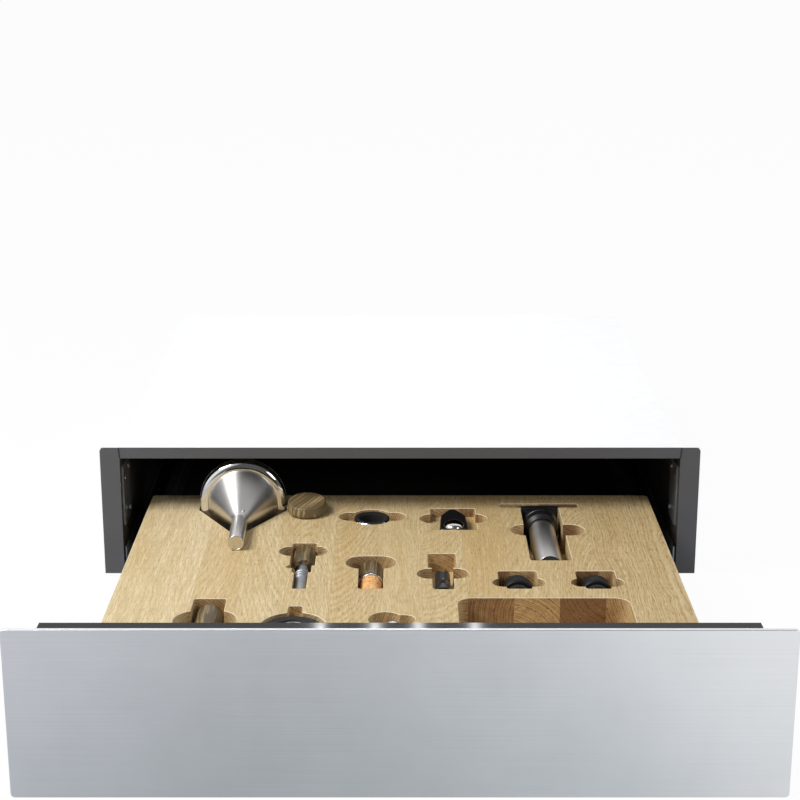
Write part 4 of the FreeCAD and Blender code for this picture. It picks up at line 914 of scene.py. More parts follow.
class Palette:
    """Every finish of the drawer, by the record's slot, built once each.

    Gloss and rubber have a low index of refraction, which keeps their edges dark in pale surroundings.
    """

    finishes = {
        "front_steel": Metal("brushed_front", tint(233, 235, 238), 0.34, Brush.ALONG_X,
                             line_depth=0.004 * MM, uneven=0.12, stretch=0.55),
        "casing_paint": CasingPaint(),
        "zinc_steel": Zinc(),
        "black_gloss": Plastic("black_gloss", tint(14, 14, 15), 0.06, 0.001 * MM, 700, ior=1.24),
        "core_board": Fibre("raw_board", tint(146, 120, 84), tint(178, 152, 112), 700),
        "black_rubber": Plastic("black_rubber", tint(24, 24, 25), 0.45, 0.02 * MM, 1800, ior=1.26),
        "black_plastic": Plastic("black_plastic", tint(20, 20, 21), 0.34, 0.012 * MM, 1500, 0.15),
        "oak": Oak(),
        "dark_wood": StripedWood("disc_wood", tint(104, 88, 60), tint(176, 154, 112), across=460,
                                 down=90, turn=math.radians(31)),
        "handle_wood": StripedWood("handle_wood", tint(80, 64, 38), tint(150, 128, 84)),
        "cork": Cork(),
        "polished_steel": Metal("polished_steel", tint(226, 226, 226), 0.07),
        "satin_steel": Metal("turned_steel", tint(224, 222, 220), 0.32, Brush.ROUND,
                             line_depth=0.006 * MM, uneven=0.15, stretch=0.75),
        "felt": Fibre("black_felt", tint(12, 12, 12), tint(26, 26, 26), 2600),
    }

    def __init__(self) -> None:
        """Start with no material built."""
        self.built: dict[str, bpy.types.Material] = {}

    def __getitem__(self, slot: str) -> bpy.types.Material:
        """The material of a slot."""
        if slot not in self.built:
            self.built[slot] = self.finishes[slot].material()
        return self.built[slot]


# Sub-assemblies


@dataclass
class Part:
    """What every sub-assembly shares: the frame, the palette and how a piece is put in its place."""

    frame: dict
    palette: Palette

    def dress(self, piece: bpy.types.Object, slot: str) -> None:
        """Give a piece or a node the finish of a slot."""
        piece.data.materials.clear()
        piece.data.materials.append(self.palette[slot])

    def keep(self, slot: str, *nodes: str) -> None:
        """Dress nodes that keep their own shape.

        Args:
            slot: the record's slot of their finish.
            nodes: the nodes.
        """
        for node in nodes:
            self.dress(self.frame["nodes"][node], slot)
            LOG.info("dressed %s", node)

    def settle(self, piece: bpy.types.Object, body: str, slot: str, *nodes: str) -> None:
        """Dress a new piece, put it on its body and let it stand for nodes.

        Args:
            piece: the new piece.
            body: the body that it moves with.
            slot: the record's slot of its finish.
            nodes: the nodes that it stands for.
        """
        self.dress(piece, slot)
        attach(piece, body)
        if nodes:
            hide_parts(*nodes)
        LOG.info("made %s, %d faces", piece.name, len(piece.data.polygons))

    def turned(self, name: str, outline: list[tuple[float, ...]], axis: Axis, body: str, slot: str,
               node: str, ease: float = 0.5 * MM, ring: bool = False, steps: int = 96) -> None:
        """Turn an outline about an axis, with its corners eased, and settle the piece.

        Args:
            name, body, slot, node: the piece's name, its body, its finish and the node it stands for.
            outline: points of radius and place along the axis, and a corner's own easing.
            axis: the line that it turns about.
            ease: the easing of the other corners.
            ring: whether the outline is closed.
            steps: points round the axis.
        """
        self.settle(lathe(name, eased(outline, ease), axis, ring, steps), body, slot, node)

    def grip(self, name: str, body: str, node: str, *knots: tuple[float, float]) -> None:
        """Turn a wooden grip on a tool that lies along Y: round behind, and cut off square in front.

        Args:
            name, body, node: the piece's name, its body and the node that it stands for.
            knots: shares of the radius, at millimetres from the front, or from the back if below 0.
        """
        axis, radius, front, back = self.lying(node)
        line = [(share * radius, (back if at < 0 else front) + at * MM) for share, at in knots]
        profile = np.vstack([flowing([(0, back), *line]), [0, front]])
        self.settle(lathe(name, profile, axis), body, "handle_wood", node)

    def lying(self, node: str) -> tuple[Axis, float, float, float]:
        """The axis of a tool that lies along Y, its radius, and its front and back along Y.

        Args:
            node: the node whose box gives them.
        Returns:
            The axis, the radius, the front and the back.
        """
        low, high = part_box(node)
        axis = Axis(Vector(((low.x + high.x) / 2, 0, (low.z + high.z) / 2)))
        return axis, (high.x - low.x) / 2, low.y, high.y

    def standing(self, node: str) -> tuple[Axis, float, float]:
        """The upright axis of a round tool, from the middle of its foot, its radius and its height.

        Args:
            node: the node whose box gives them.
        Returns:
            The axis, the radius and the height.
        """
        low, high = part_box(node)
        foot = Vector(((low.x + high.x) / 2, (low.y + high.y) / 2, low.z))
        return Axis(foot, Vector((0, 0, 1))), (high.x - low.x) / 2, high.z - low.z


@dataclass
class Casing(Part):
    """The sheet casing with its fixing plates and slides, and the seams of its front frame."""

    seam: float = 0.45 * MM
    proud: float = 0.05 * MM
    lean: float = 0.8 * MM
    lip: float = 11 * MM
    tuck: float = 0.2 * MM

    def build(self) -> None:
        """Dress the sheets and rails, and draw the seams beside the top lip."""
        sheets = ("left_side", "right_side", "top", "bottom", "rear")
        rails = ("bracket", "cabinet_rail", "middle_rail", "drawer_rail", "outer_cage", "inner_cage")
        self.keep("casing_paint", *(f"casing_{name}" for name in sheets))
        self.keep("zinc_steel", "casing_screws", "fixing_plate_left", "fixing_plate_right",
                  "fixing_plate_screws", "cabinet_rail_screws", "latch_spring",
                  *(f"slide_{side}_{name}" for side in ("left", "right") for name in rails))
        self.keep("black_plastic", "latch_housing", "latch_plunger")
        for side, way in (("left", -1), ("right", 1)):
            self.seam_strip(side, way)

    def seam_strip(self, side: str, way: int) -> None:
        """A hairline between the top lip and a side flange, leaning out towards the top.

        Args:
            side: left or right.
            way: -1 to the left and 1 to the right.
        """
        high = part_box("casing_top")[1]
        x = way * high.x
        start = (x - way * self.tuck, -self.proud, high.z - self.lip)
        end = (x + way * self.lean, -self.proud, high.z - 0.1 * MM)
        strip = tube(f"frame_seam_{side}", np.linspace(start, end, 6), self.seam, closed=False)
        self.settle(strip, "casing", "black_plastic")


@dataclass
class DrawerFront(Part):
    """The steel plate, its gasket, the gloss carrier, and the pan and the tray behind it."""

    def build(self) -> None:
        """Dress the front, the pan and the tray."""
        self.keep("front_steel", "front_plate")
        self.keep("black_rubber", "front_gasket")
        self.keep("black_gloss", "front_carrier")
        self.keep("core_board", "front_core")
        self.keep("zinc_steel", "drawer_pan", "front_screws", "tray_screws", "drawer_rail_screws",
                  "striker_plate")
        self.keep("oak", "oak_tray")


@dataclass
class Funnel(Part):
    """The funnel that lies on its rim and spout."""

    yaw: float = math.radians(1.4)
    seat: float = 0.3 * MM
    rim: float = 43.7 * MM
    bead: float = 0.6 * MM
    band: float = 2 * MM
    shoulder: float = 34.5 * MM
    shoulder_at: float = 10 * MM
    cone: float = 47 * MM
    spout: float = 7.5 * MM
    spout_length: float = 54 * MM
    wall: float = 1.1 * MM
    crown: float = 0.85 * MM

    @property
    def neck(self) -> float:
        """Where the cone meets the spout, along the axis."""
        return -(self.shoulder_at + self.cone)

    @property
    def end(self) -> float:
        """Where the spout ends, along the axis."""
        return -(self.shoulder_at + self.cone + self.spout_length)

    def axis(self) -> Axis:
        """The funnel's axis, from the rim's middle towards its mouth.

        Returns:
            The axis.
        """
        pan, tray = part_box("drawer_pan")[1].z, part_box("oak_tray")[1].z
        low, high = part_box("funnel_bowl")
        height = pan + self.seat + self.rim
        dip = math.asin((height - (tray + self.seat + self.spout)) / -self.end)
        way = Matrix.Rotation(self.yaw, 3, "Z") @ Matrix.Rotation(dip, 3, "X") @ Vector((0, 1, 0))
        mouth = high.y - self.rim * math.sin(dip)
        return Axis(Vector(((low.x + high.x) / 2, mouth, height)), way)

    def build(self) -> None:
        """Turn the bowl with its rolled rim, the cone and the closed spout, and add its loop."""
        axis = self.axis()
        for piece, slot, *nodes in (
                (self.bowl(axis), "polished_steel", "funnel_bowl"),
                (self.wire(axis), "satin_steel"),
                (self.skirt(axis), "satin_steel"),
                (self.pipe(axis), "satin_steel", "funnel_spout"),
                (self.tip(axis), "polished_steel"),
                (self.vent(axis), "polished_steel"),
                (self.loop(axis), "polished_steel")):
            self.settle(piece, "funnel", slot, *nodes)

    def bowl(self, axis: Axis) -> bpy.types.Object:
        """The polished lip: a rolled bead, then a blunted quarter ellipse in to the shoulder.

        Args:
            axis: the funnel's axis.
        Returns:
            The piece.
        """
        turn = np.linspace(0, math.pi / 2, 14)
        reach, depth = self.rim - 0.4 * MM - self.shoulder, self.shoulder_at - self.band
        outer = np.column_stack([self.shoulder + reach * np.cos(turn),
                                 -self.band - depth * np.sin(turn) ** 0.65])
        inner = outer[::-1] + np.array([-0.8, 0.6]) * self.wall
        around = np.linspace(-0.3 * math.pi, 1.2 * math.pi, 12)
        bead = np.column_stack([self.rim - self.bead + self.bead * np.cos(around),
                                -self.bead + self.bead * np.sin(around)])
        profile = np.vstack([bead[::-1], outer, inner])
        return lathe("funnel_lip", profile, axis, closed=True, steps=160)

    def wire(self, axis: Axis) -> bpy.types.Object:
        """The rolled edge's brushed crown, which lies on the bead and inside its outer edge.

        Args:
            axis: the funnel's axis.
        Returns:
            The piece.
        """
        across, over, way = axis.frame()
        middle = np.array(axis.origin) - way * self.bead * 1.6
        reach = self.rim - self.crown - 0.02 * MM
        path = middle + circle(200, reach * across, reach * over)
        return tube("funnel_rolled_edge", path, self.crown, closed=True)

    def skirt(self, axis: Axis) -> bpy.types.Object:
        """The brushed cone between the lip and the spout.

        Args:
            axis: the funnel's axis.
        Returns:
            The piece.
        """
        top, neck = -self.shoulder_at, self.neck
        outer = eased([(self.shoulder + 0.3 * MM, top + 0.5 * MM),
                       (self.shoulder - 0.9 * MM, top - 0.6 * MM),
                       (self.spout + 1.6 * MM, neck + 2.4 * MM),
                       (self.spout, neck - 2 * MM)], 3 * MM, 6)
        inner = outer[::-1] + np.array([-self.wall, 0.2 * MM])
        return lathe("funnel_cone", np.vstack([outer, inner]), axis, closed=True, steps=160)

    def pipe(self, axis: Axis) -> bpy.types.Object:
        """The spout, a straight tube whose edge is drawn in over the tip.

        Args:
            axis: the funnel's axis.
        Returns:
            The piece.
        """
        neck, end, bore = self.neck, self.end, self.spout - self.wall
        outline = [(bore, neck), (self.spout, neck), (self.spout, end), (bore, end),
                   (bore, end + 3 * MM)]
        return lathe("funnel_pipe", eased(outline, 0.4 * MM), axis, closed=True, steps=72)

    def tip(self, axis: Axis) -> bpy.types.Object:
        """The polished disc that closes the spout, set in a hair behind the tube's edge.

        Args:
            axis: the funnel's axis.
        Returns:
            The piece.
        """
        radius = self.spout - 0.6 * MM
        face, back = self.end + 0.25 * MM, self.end + 1.5 * MM
        outline = [(0, face), (radius, face), (radius, back), (0, back)]
        return lathe("funnel_tip", eased(outline, 0.2 * MM), axis, steps=64)

    def vent(self, axis: Axis) -> bpy.types.Object:
        """The small raised eye where the cone meets the spout, which lets the air out.

        Args:
            axis: the funnel's axis.
        Returns:
            The piece.
        """
        across, _, way = (Vector(row) for row in axis.frame())
        side = -across if across.x < 0 else across
        out = (side * 0.35 + Vector((0, 0, 1)) * 0.94).normalized()
        origin = axis.origin + way * (self.neck + 5 * MM) + out * (self.spout + 2 * MM)
        eye = circle(24, 2.1 * MM * np.array(way), 1.5 * MM * np.array(side))
        return tube("funnel_vent_eye", np.array(origin) + eye, 0.55 * MM, closed=True)

    def loop(self, axis: Axis) -> bpy.types.Object:
        """The small wire loop on the rim's right side, for hanging the funnel up.

        Args:
            axis: the funnel's axis.
        Returns:
            The piece.
        """
        middle = np.array(axis.origin) + [self.rim * 0.985, -1.6 * MM, -7.6 * MM]
        ring = circle(28, 1.9 * MM * np.array([0.25, -0.97, 0]), 1.7 * MM * np.array([0, 0, 1.0]))
        return tube("funnel_loop", middle + ring, 0.45 * MM, closed=True)


@dataclass
class DiscStopper(Part):
    """The stopper that stands in its hole, with a striped wooden disc on a ribbed plug."""

    rim: float = 20.2 * MM
    top: float = 18.2 * MM
    thick: float = 10.5 * MM
    tilt: float = math.radians(7)
    plug: float = 9.5 * MM
    plug_length: float = 27 * MM
    ridge: float = 1.2 * MM
    ridges: tuple = (0.22, 0.44, 0.66)

    def build(self) -> None:
        """Turn the disc and the plug about the stopper's leaning axis."""
        way = Vector((0, -math.sin(self.tilt), math.cos(self.tilt)))
        low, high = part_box("disc_stopper_cap")
        centre = Vector(((low.x + high.x) / 2, high.y - self.rim * math.cos(self.tilt),
                         low.z + self.rim * math.sin(self.tilt)))
        axis = Axis(centre, way)
        disc = [(0, 0), (self.rim * 0.93, 0, 1.2 * MM), (self.rim, self.thick * 0.2, 1 * MM),
                (self.rim, self.thick * 0.36, 0.6 * MM),
                (self.top + 0.4 * MM, self.thick * 0.97, 0.7 * MM),
                (self.top - 0.2 * MM, self.thick, 0.3 * MM), (0, self.thick - 0.25 * MM)]
        self.turned("disc_cap", disc, axis, "disc_stopper", "dark_wood", "disc_stopper_cap")
        valley, crest = self.plug - 0.6 * MM, self.plug + self.ridge
        ribs = [(0, 0), (self.plug - 0.4 * MM, 0)]
        for share in self.ridges:
            at = -share * self.plug_length
            ribs += [(valley, at), (crest, at - 1.4 * MM, 0.6 * MM),
                     (self.plug + self.ridge * 0.7, at - 2.6 * MM, 0.6 * MM), (valley, at - 3.4 * MM)]
        ribs += [(self.plug * 0.9, -self.plug_length, 1.6 * MM), (0, -self.plug_length)]
        self.turned("disc_plug", ribs, axis, "disc_stopper", "black_rubber", "disc_stopper_plug",
                    ease=0.4 * MM)


@dataclass
class DripRing(Part):
    """The drip ring: a chrome band round a ring of black felt."""

    wall: float = 1.4 * MM
    bore: float = 12 * MM

    def build(self) -> None:
        """Turn the band and the felt."""
        axis, radius, tall = self.standing("drip_ring_band")
        inner = radius - self.wall
        band = [(inner, 0.6 * MM), (radius - 0.5 * MM, 0, 0.5 * MM), (radius, 1.2 * MM, 1 * MM),
                (radius - 0.15 * MM, tall - 1.6 * MM, 1 * MM),
                (inner + 0.4 * MM, tall - 0.5 * MM, 0.4 * MM), (inner, tall - 1.0 * MM)]
        self.turned("drip_band", band, axis, "drip_ring", "polished_steel", "drip_ring_band",
                    ease=0.4 * MM, ring=True, steps=120)
        edge = inner - 0.05 * MM
        felt = [(self.bore, 1 * MM, 1 * MM), (edge, 0.8 * MM), (edge, tall - 0.6 * MM, 0.6 * MM),
                (inner - 1.4 * MM, tall, 1.2 * MM), (self.bore + 1.6 * MM, tall - 0.2 * MM, 1.8 * MM),
                (self.bore, tall - 2 * MM, 1 * MM), (self.bore, 1 * MM)]
        self.turned("drip_felt", felt, axis, "drip_ring", "felt", "drip_ring_felt",
                    ease=0.4 * MM, ring=True)


@dataclass
class FoilCutter(Part):
    """The foil cutter: a rounded black body with a bright dome at its front."""

    dome: float = 10 * MM
    tail: float = 3.5 * MM
    taper: float = 16 * MM
    foot: float = -0.5 * MM

    def build(self) -> None:
        """Mould the body and turn the dome."""
        low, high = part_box("foil_cutter_body")
        x, half = (low.x + high.x) / 2, (high.x - low.x) / 2
        shoulder, waist = high.y - self.taper, half * 0.86
        plan = [(x, low.y), (x + half, low.y), (x + waist, shoulder), (x + self.tail, high.y),
                (x - self.tail, high.y), (x - waist, shoulder), (x - half, low.y), (x, low.y)]
        ring = eased(plan, 3.5 * MM, 7)[:-1]
        body = moulded("cutter_body", ring, low.z, high.z, 1.8 * MM)
        self.settle(body, "foil_cutter", "black_plastic", "foil_cutter_body")
        axis, _, rise = self.standing("foil_cutter_dome")
        turn = np.linspace(0, math.pi / 2, 20)
        cap = np.column_stack([self.dome * np.cos(turn), rise * np.sin(turn)])
        dome = lathe("cutter_dome", np.vstack([[0, self.foot], [self.dome, self.foot], cap]), axis,
                     steps=72)
        self.settle(dome, "foil_cutter", "polished_steel", "foil_cutter_dome")


@dataclass
class VacuumPump(Part):
    """The vacuum pump: steel cylinder, ringed black collar, end seal and T handle."""

    rod: float = 4 * MM
    wall: float = 1 * MM
    handle_depth: float = 7 * MM
    handle_steps: int = 96

    def build(self) -> None:
        """Turn the pump's pieces and mould its handle."""
        axis, radius, front, back = self.lying("pump_cylinder")
        bore = radius - self.wall
        shell = [(bore, back), (radius, back), (radius, front), (bore, front)]
        self.turned("pump_barrel", shell, axis, "vacuum_pump", "satin_steel", "pump_cylinder",
                    ease=0.4 * MM, ring=True, steps=120)
        self.collar()
        axis, radius, front, back = self.lying("pump_end_seal")
        seal = [(0, back), (radius, back), (radius, back - 4 * MM, 1 * MM),
                (radius - 0.5 * MM, front, 1.4 * MM), (5.5 * MM, front, 0.6 * MM),
                (5 * MM, front + 4 * MM, 0.5 * MM), (0, front + 4 * MM)]
        self.turned("pump_seal", seal, axis, "vacuum_pump", "black_rubber", "pump_end_seal")
        self.settle(self.handle(), "vacuum_pump", "black_plastic", "pump_handle")

    def collar(self) -> None:
        """Turn the collar: two raised rings with a groove between them, and a lip over the barrel."""
        axis, radius, front, back = self.lying("pump_collar")
        bore, groove = self.rod + 0.3 * MM, radius * 0.955
        outline = [(bore, back), (radius * 0.9, back, 1.5 * MM), (radius, back - 2.2 * MM, 1 * MM),
                   (radius, back - 8 * MM, 0.8 * MM), (groove, back - 9 * MM, 0.5 * MM),
                   (groove, back - 11.5 * MM, 0.5 * MM), (radius * 0.995, back - 12.6 * MM, 0.8 * MM),
                   (radius * 0.985, back - 19 * MM, 1.6 * MM),
                   (radius * 0.8, front + 3.5 * MM, 1.5 * MM),
                   (radius * 0.77, front + 0.4 * MM, 0.4 * MM), (radius * 0.745, front, 0.3 * MM),
                   (bore, front)]
        self.turned("pump_ringed_collar", outline, axis, "vacuum_pump", "black_plastic",
                    "pump_collar", ring=True, steps=120)

    def handle(self) -> bpy.types.Object:
        """The T bar on its rod: an oblong whose ends are round, drawn in at both faces.

        Its plan is a superellipse, the signed square roots of a turn's cosine and sine.

        Returns:
            The piece.
        """
        low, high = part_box("pump_handle")
        x, z = (low.x + high.x) / 2, self.lying("pump_cylinder")[0].origin.z
        half, tall, steps = (high.x - low.x) / 2, (high.z - low.z) / 2, self.handle_steps
        turn = np.linspace(0, 2 * math.pi, steps, endpoint=False)
        wave = np.stack([np.cos(turn), np.sin(turn)], 1)
        plan = np.sign(wave) * np.sqrt(np.abs(wave)) * [half, tall]
        depth = np.array([-1, -1, -0.82, -0.5, -0.18, 0, 0]) * self.handle_depth + high.y
        share = np.array([0.0, 0.86, 0.97, 1.0, 0.97, 0.86, 0.0])
        rings = [np.column_stack([x + plan[:, 0] * (1 - (1 - s) * tall / half), np.full(steps, y),
                                  z + plan[:, 1] * s]) if s else np.tile([x, y, z], (steps, 1))
                 for s, y in zip(share, depth)]
        u, v = np.arange(steps + 1.0), np.arange(len(rings) * 1.0)
        return surface("pump_t_handle", np.stack(rings, 1), u, v)


@dataclass
class SteelStopper(Part):
    """A steel stopper with a grooved collar, on a turned wooden handle."""

    neck: float = 4.4 * MM
    collar_back: float = 16 * MM
    collar_front: float = 32.5 * MM
    shaft: float = 5.9 * MM
    tip: float = 5.4 * MM

    def build(self) -> None:
        """Turn the handle and the shaft."""
        self.grip("stopper_handle", "steel_stopper", "steel_stopper_handle", (0.55, -0.1),
                  (0.86, -0.9), (0.98, -3.2), (1, -8), (1, -18), (0.9, 6), (0.79, 0.8), (0.74, 0))
        axis, flange, tip, top = self.lying("steel_stopper_shaft")
        first, last = top - self.collar_back, top - self.collar_front
        groove = flange * 0.88
        shaft = [(0, top), (self.neck, top, 0.2 * MM), (self.neck * 0.96, first + 3 * MM, 2 * MM),
                 (flange * 0.86, first, 1 * MM)]
        for at in np.linspace(first - 1 * MM, last + 5 * MM, 3):
            shaft += [(flange, at - 0.4 * MM, 0.8 * MM), (flange, at - 3 * MM, 0.8 * MM),
                      (groove, at - 3.7 * MM, 0.4 * MM), (groove, at - 4.1 * MM, 0.4 * MM)]
        shaft += [(self.shaft, last, 0.8 * MM), (self.tip, tip, 0.8 * MM), (0, tip)]
        self.turned("stopper_shaft", shaft, axis, "steel_stopper", "zinc_steel",
                    "steel_stopper_shaft")


@dataclass
class CorkStopper(Part):
    """A cork under a turned wooden head, with a bright collar between them."""

    def build(self) -> None:
        """Turn the head, the collar and the cork."""
        self.grip("cork_head", "cork_stopper", "cork_stopper_head", (0.6, -0.1), (0.88, -0.8),
                  (0.98, -2.8), (1, -8), (0.98, 6), (0.93, 0))
        axis, radius, front, back = self.lying("cork_stopper_collar")
        step = radius * 0.92
        rings = [(0, back), (step, back, 0.3 * MM), (step, back - 1.9 * MM, 0.2 * MM),
                 (radius, back - 2.3 * MM, 0.4 * MM), (radius, front, 0.6 * MM), (0, front)]
        self.turned("cork_collar", rings, axis, "cork_stopper", "polished_steel",
                    "cork_stopper_collar")
        axis, radius, front, back = self.lying("cork_stopper_cork")
        cork = [(0, back), (radius, back), (radius * 0.985, front + 6 * MM, 6 * MM),
                (radius * 0.93, front, 1 * MM), (0, front)]
        self.turned("cork_body", cork, axis, "cork_stopper", "cork", "cork_stopper_cork")


@dataclass
class VacuumStopper(Part):
    """A rubber stopper that lies on its side: a broad round body behind, a smaller cap in front."""

    node: str = "vacuum_stopper_left"
    body: str = "left_vacuum_stopper"
    length: float = 17 * MM
    groove: float = 11 * MM
    gap: float = 1.4 * MM
    cap: float = 12.5 * MM
    socket: float = 8 * MM
    socket_depth: float = 12 * MM

    def build(self) -> None:
        """Turn the stopper."""
        axis, wide, front, back = self.lying(self.node)
        shoulder, cap_back = back - self.length, back - self.length - self.gap
        bottom, cap = back - self.socket_depth, self.cap
        outline = [(0, bottom), (self.socket, bottom, 1 * MM), (self.socket, back, 0.6 * MM),
                   (wide - 1.5 * MM, back, 1.5 * MM), (wide, back - 5 * MM, 4 * MM),
                   (wide, shoulder + 2 * MM, 2 * MM), (wide - 1.2 * MM, shoulder, 0.8 * MM),
                   (self.groove, shoulder, 0.4 * MM), (self.groove, cap_back, 0.4 * MM),
                   (cap - 0.8 * MM, cap_back, 0.6 * MM), (cap, cap_back - 1.6 * MM, 1.2 * MM),
                   (cap - 0.4 * MM, front + 3.5 * MM, 2.5 * MM), (cap - 4 * MM, front, 3 * MM),
                   (3 * MM, front, 1 * MM), (0, front + 0.5 * MM)]
        self.turned(f"{self.body}_rubber", outline, axis, self.body, "black_rubber", self.node)


@dataclass
class BottleRing(Part):
    """The rubber ring for a bottle's neck, with a chrome liner."""

    liner_wall: float = 1.8 * MM
    step: float = 0.9 * MM

    def build(self) -> None:
        """Turn the rubber and the liner."""
        axis, radius, tall = self.standing("bottle_ring_rubber")
        liner = self.standing("bottle_ring_liner")[1]
        seat, bore = liner + 0.05 * MM, liner - self.liner_wall
        rubber = [(seat, 0), (radius - 0.6 * MM, 0, 0.6 * MM), (radius, 1 * MM, 1 * MM),
                  (radius, tall - 2.2 * MM, 2 * MM), (radius - 2.4 * MM, tall, 1.6 * MM),
                  (liner + 3.4 * MM, tall, 1 * MM), (liner + 2.4 * MM, tall - self.step, 0.5 * MM),
                  (seat, tall - self.step)]
        self.turned("ring_rubber", rubber, axis, "bottle_ring", "black_rubber",
                    "bottle_ring_rubber", ring=True, steps=120)
        chrome = [(bore, 0), (liner, 0), (liner, tall - 0.5 * MM, 0.5 * MM),
                  (liner - 0.8 * MM, tall, 0.5 * MM), (bore, tall - 0.8 * MM, 0.8 * MM)]
        self.turned("ring_liner", chrome, axis, "bottle_ring", "polished_steel",
                    "bottle_ring_liner", ring=True)


@dataclass
class FrontTools(Part):
    """The tools that lie under the front's edge: bottle opener, thermometer tube and pourer."""

    def build(self) -> None:
        """Turn the opener's handle and the tube, and dress the opener's head and the pourer."""
        self.grip("opener_grip", "bottle_opener", "opener_handle", (0.5, -0.1), (0.82, -1.4),
                  (0.97, -5), (1, -11), (0.98, 14), (0.8, 0))
        axis, radius, front, back = self.lying("thermometer_tube")
        sleeve = [(0, back), (radius * 0.5, back, 1 * MM), (radius * 0.9, back - 2.4 * MM, 2 * MM),
                  (radius, back - 7 * MM, 3 * MM), (radius, front + 1 * MM, 0.6 * MM),
                  (radius - 1 * MM, front, 0.4 * MM), (0, front)]
        self.turned("thermometer_sleeve", sleeve, axis, "thermometer", "polished_steel",
                    "thermometer_tube")
        self.keep("polished_steel", "opener_head")
        self.keep("black_plastic", "pourer")


# Stage


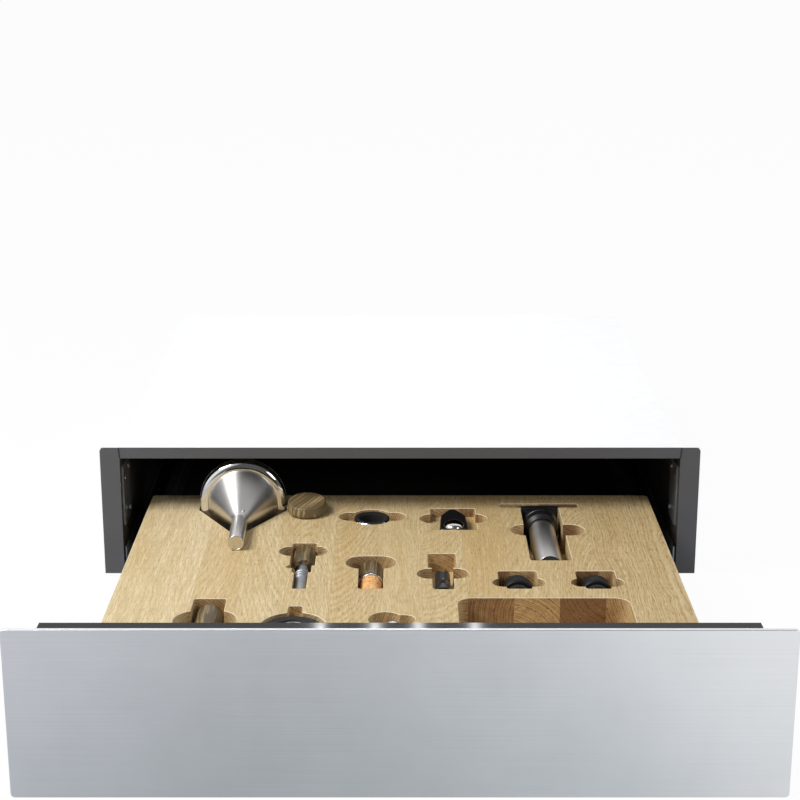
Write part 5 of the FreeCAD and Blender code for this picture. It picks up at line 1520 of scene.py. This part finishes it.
@dataclass
class Studio:
    """The pale floor, the soft lamps and the camera at the photograph's angle."""

    floor: float = -4.6 * MM
    floor_reach: float = 60.0
    floor_glow: float = 0.96
    lens: float = 73.67
    pitch: float = math.radians(15.08)
    place: Vector = Vector((0, -1.540, 0.664))
    rise: float = -0.08
    aim: Vector = Vector((0, -0.15, 0.06))
    ambient: float = 0.33
    dim: float = 0.1
    upper_left: tuple = (-0.77, -0.28, 0.57)
    spots_across: tuple = (-0.048, -0.015, 0.011, 0.045)
    spots_up: float = 0.437
    spot_strength: float = 30.0

    def build(self) -> None:
        """Set the stage."""
        scene = bpy.context.scene
        scene.view_settings.view_transform = "Standard"
        self.camera(scene)
        self.ground(scene)
        self.world(scene)
        self.lamp(scene, "key", (-1.34, -0.63, 1.74), 0.9, 44.0)
        self.lamp(scene, "fill", (1.7, -1.6, 1.0), 0.7, 10.0)

    def camera(self, scene: bpy.types.Scene) -> None:
        """Make the camera.

        Args:
            scene: the scene that it is put in.
        """
        data = bpy.data.cameras.new("camera")
        data.lens = self.lens
        data.sensor_width = 36
        data.shift_y = self.rise
        data.clip_start, data.clip_end = 0.05, 200
        camera = bpy.data.objects.new("camera", data)
        camera.location = self.place
        camera.rotation_euler = (math.pi / 2 - self.pitch, 0, 0)
        scene.collection.objects.link(camera)
        scene.camera = camera

    def ground(self, scene: bpy.types.Scene) -> None:
        """Make the floor: white to the camera, toned where gloss mirrors it, and matt under the object.

        The tones are painted reflections for the front plate to mirror. They run from left to right,
        and a painted shade darkens them near the plate.

        Args:
            scene: the scene that it is put in.
        """
        reach = self.floor_reach
        mesh = bpy.data.meshes.new("floor")
        mesh.from_pydata([(x * reach, y * reach, self.floor) for x, y in
                          ((-1, -1), (1, -1), (1, 1), (-1, 1))], [], [(0, 1, 2, 3)])
        floor = bpy.data.objects.new("floor", mesh)
        scene.collection.objects.link(floor)
        graph = Graph("pale_floor")
        x, y = graph.split(graph.place())[:2]
        # Painted reflection: lighter and darker tones from left to right, which only gloss sees in the
        # floor.
        across = graph.ramp(graph.span(x, -0.35, 0.35), (0.0, tint(216, 218, 222)),
                            (0.3, tint(190, 193, 196)), (0.5, tint(198, 201, 203)),
                            (0.75, tint(222, 225, 227)), (0.93, tint(255, 255, 255)))
        # Painted shade: what the plate mirrors is darkened near the plate, as a contact shadow would
        # darken a real floor.
        near = tint(232, 234, 235)
        mirrored = graph.mix(graph.span(y, -0.72, -0.44), across, near, "MULTIPLY")
        paths = graph.add("LightPath").outputs
        seen = graph.mix(paths["Is Camera Ray"], mirrored, grey(1))
        glow = graph.add("Emission", {"Color": seen, "Strength": 1.0})
        matt = graph.add("BsdfDiffuse", {"Color": tint(235, 235, 235)})
        direct = graph.most(*(paths[f"Is {kind} Ray"] for kind in ("Camera", "Glossy", "Transmission")))
        share = graph.times(direct, self.floor_glow)
        graph.end(graph.add("MixShader", {0: share, 1: matt.outputs[0], 2: glow.outputs[0]}))
        floor.data.materials.append(graph.material)
        floor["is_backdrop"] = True

    def world(self, scene: bpy.types.Scene) -> None:
        """Make the surroundings: an even pale light, white to the camera.

        Metal and gloss mirror white behind the object and to the upper left, four small spots,
        and a dark grey elsewhere.

        Args:
            scene: the scene that they surround.
        """
        world = bpy.data.worlds.new("surroundings")
        world.use_nodes = True
        graph = Graph("surroundings", world.node_tree)
        direction = graph.add("TexCoord").outputs["Generated"]
        behind = graph.span(graph.split(direction)[1], -0.1, 0.35)
        along = graph.add("VectorMath", {0: direction, 1: self.upper_left}, operation="DOT_PRODUCT")
        left = graph.span(along.outputs["Value"], 0.64, 0.88)
        paths = graph.add("LightPath").outputs
        seen = graph.most(paths["Is Camera Ray"], paths["Is Transmission Ray"])
        glossy = paths["Is Glossy Ray"]
        mirrored = graph.plus(graph.most(self.dim, behind, left), self.spots(graph, direction))
        even = graph.times(graph.minus(1.0, glossy), self.ambient)
        strength = graph.most(seen, graph.times(mirrored, glossy), even)
        graph.end(graph.add("Background", {"Color": grey(1), "Strength": strength}))
        scene.world = world

    def spots(self, graph: Graph, direction: object) -> object:
        """The light of small ceiling spots behind the object, which gloss mirrors as bright dashes.

        Args:
            graph: the material's nodes.
            direction: the way that a ray leaves the scene.
        Returns:
            The strength's socket.
        """
        x, y, z = graph.split(direction)
        row = graph.times(graph.span(graph.apart(z, self.spots_up), 0.01, 0.03, 1, 0),
                          graph.past(y, 0.5))
        near = [graph.span(graph.apart(x, at), 0.0, 0.0035, 1, 0) for at in self.spots_across]
        return graph.times(row, graph.plus(*near), self.spot_strength)

    def lamp(self, scene: bpy.types.Scene, name: str, place: tuple, size: float,
             power: float) -> None:
        """A soft square lamp that looks at the tray.

        Args:
            scene: the scene that it is put in.
            name: the lamp's name.
            place: where it hangs.
            size: the length of its side.
            power: its watts.
        """
        data = bpy.data.lights.new(name, "AREA")
        data.size = size
        data.energy = power
        lamp = bpy.data.objects.new(name, data)
        lamp.location = place
        lamp.rotation_euler = (self.aim - Vector(place)).to_track_quat("-Z", "Y").to_euler()
        scene.collection.objects.link(lamp)


def corners() -> list[list[float]]:
    """The whole object's box as plain lists."""
    return [[round(value, 6) for value in corner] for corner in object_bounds()]


def main() -> None:
    """Build the drawer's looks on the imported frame."""
    logging.basicConfig(level=logging.INFO, format="%(message)s")
    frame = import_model()
    palette = Palette()
    parts = [kind(frame, palette) for kind in (
        Casing, DrawerFront, Funnel, DiscStopper, DripRing, FoilCutter, VacuumPump, SteelStopper,
        CorkStopper, VacuumStopper)]
    parts += [VacuumStopper(frame, palette, "vacuum_stopper_right", "right_vacuum_stopper"),
              BottleRing(frame, palette), FrontTools(frame, palette)]
    for part in parts:
        part.build()
    Studio().build()


if __name__ == "__main__":
    main()
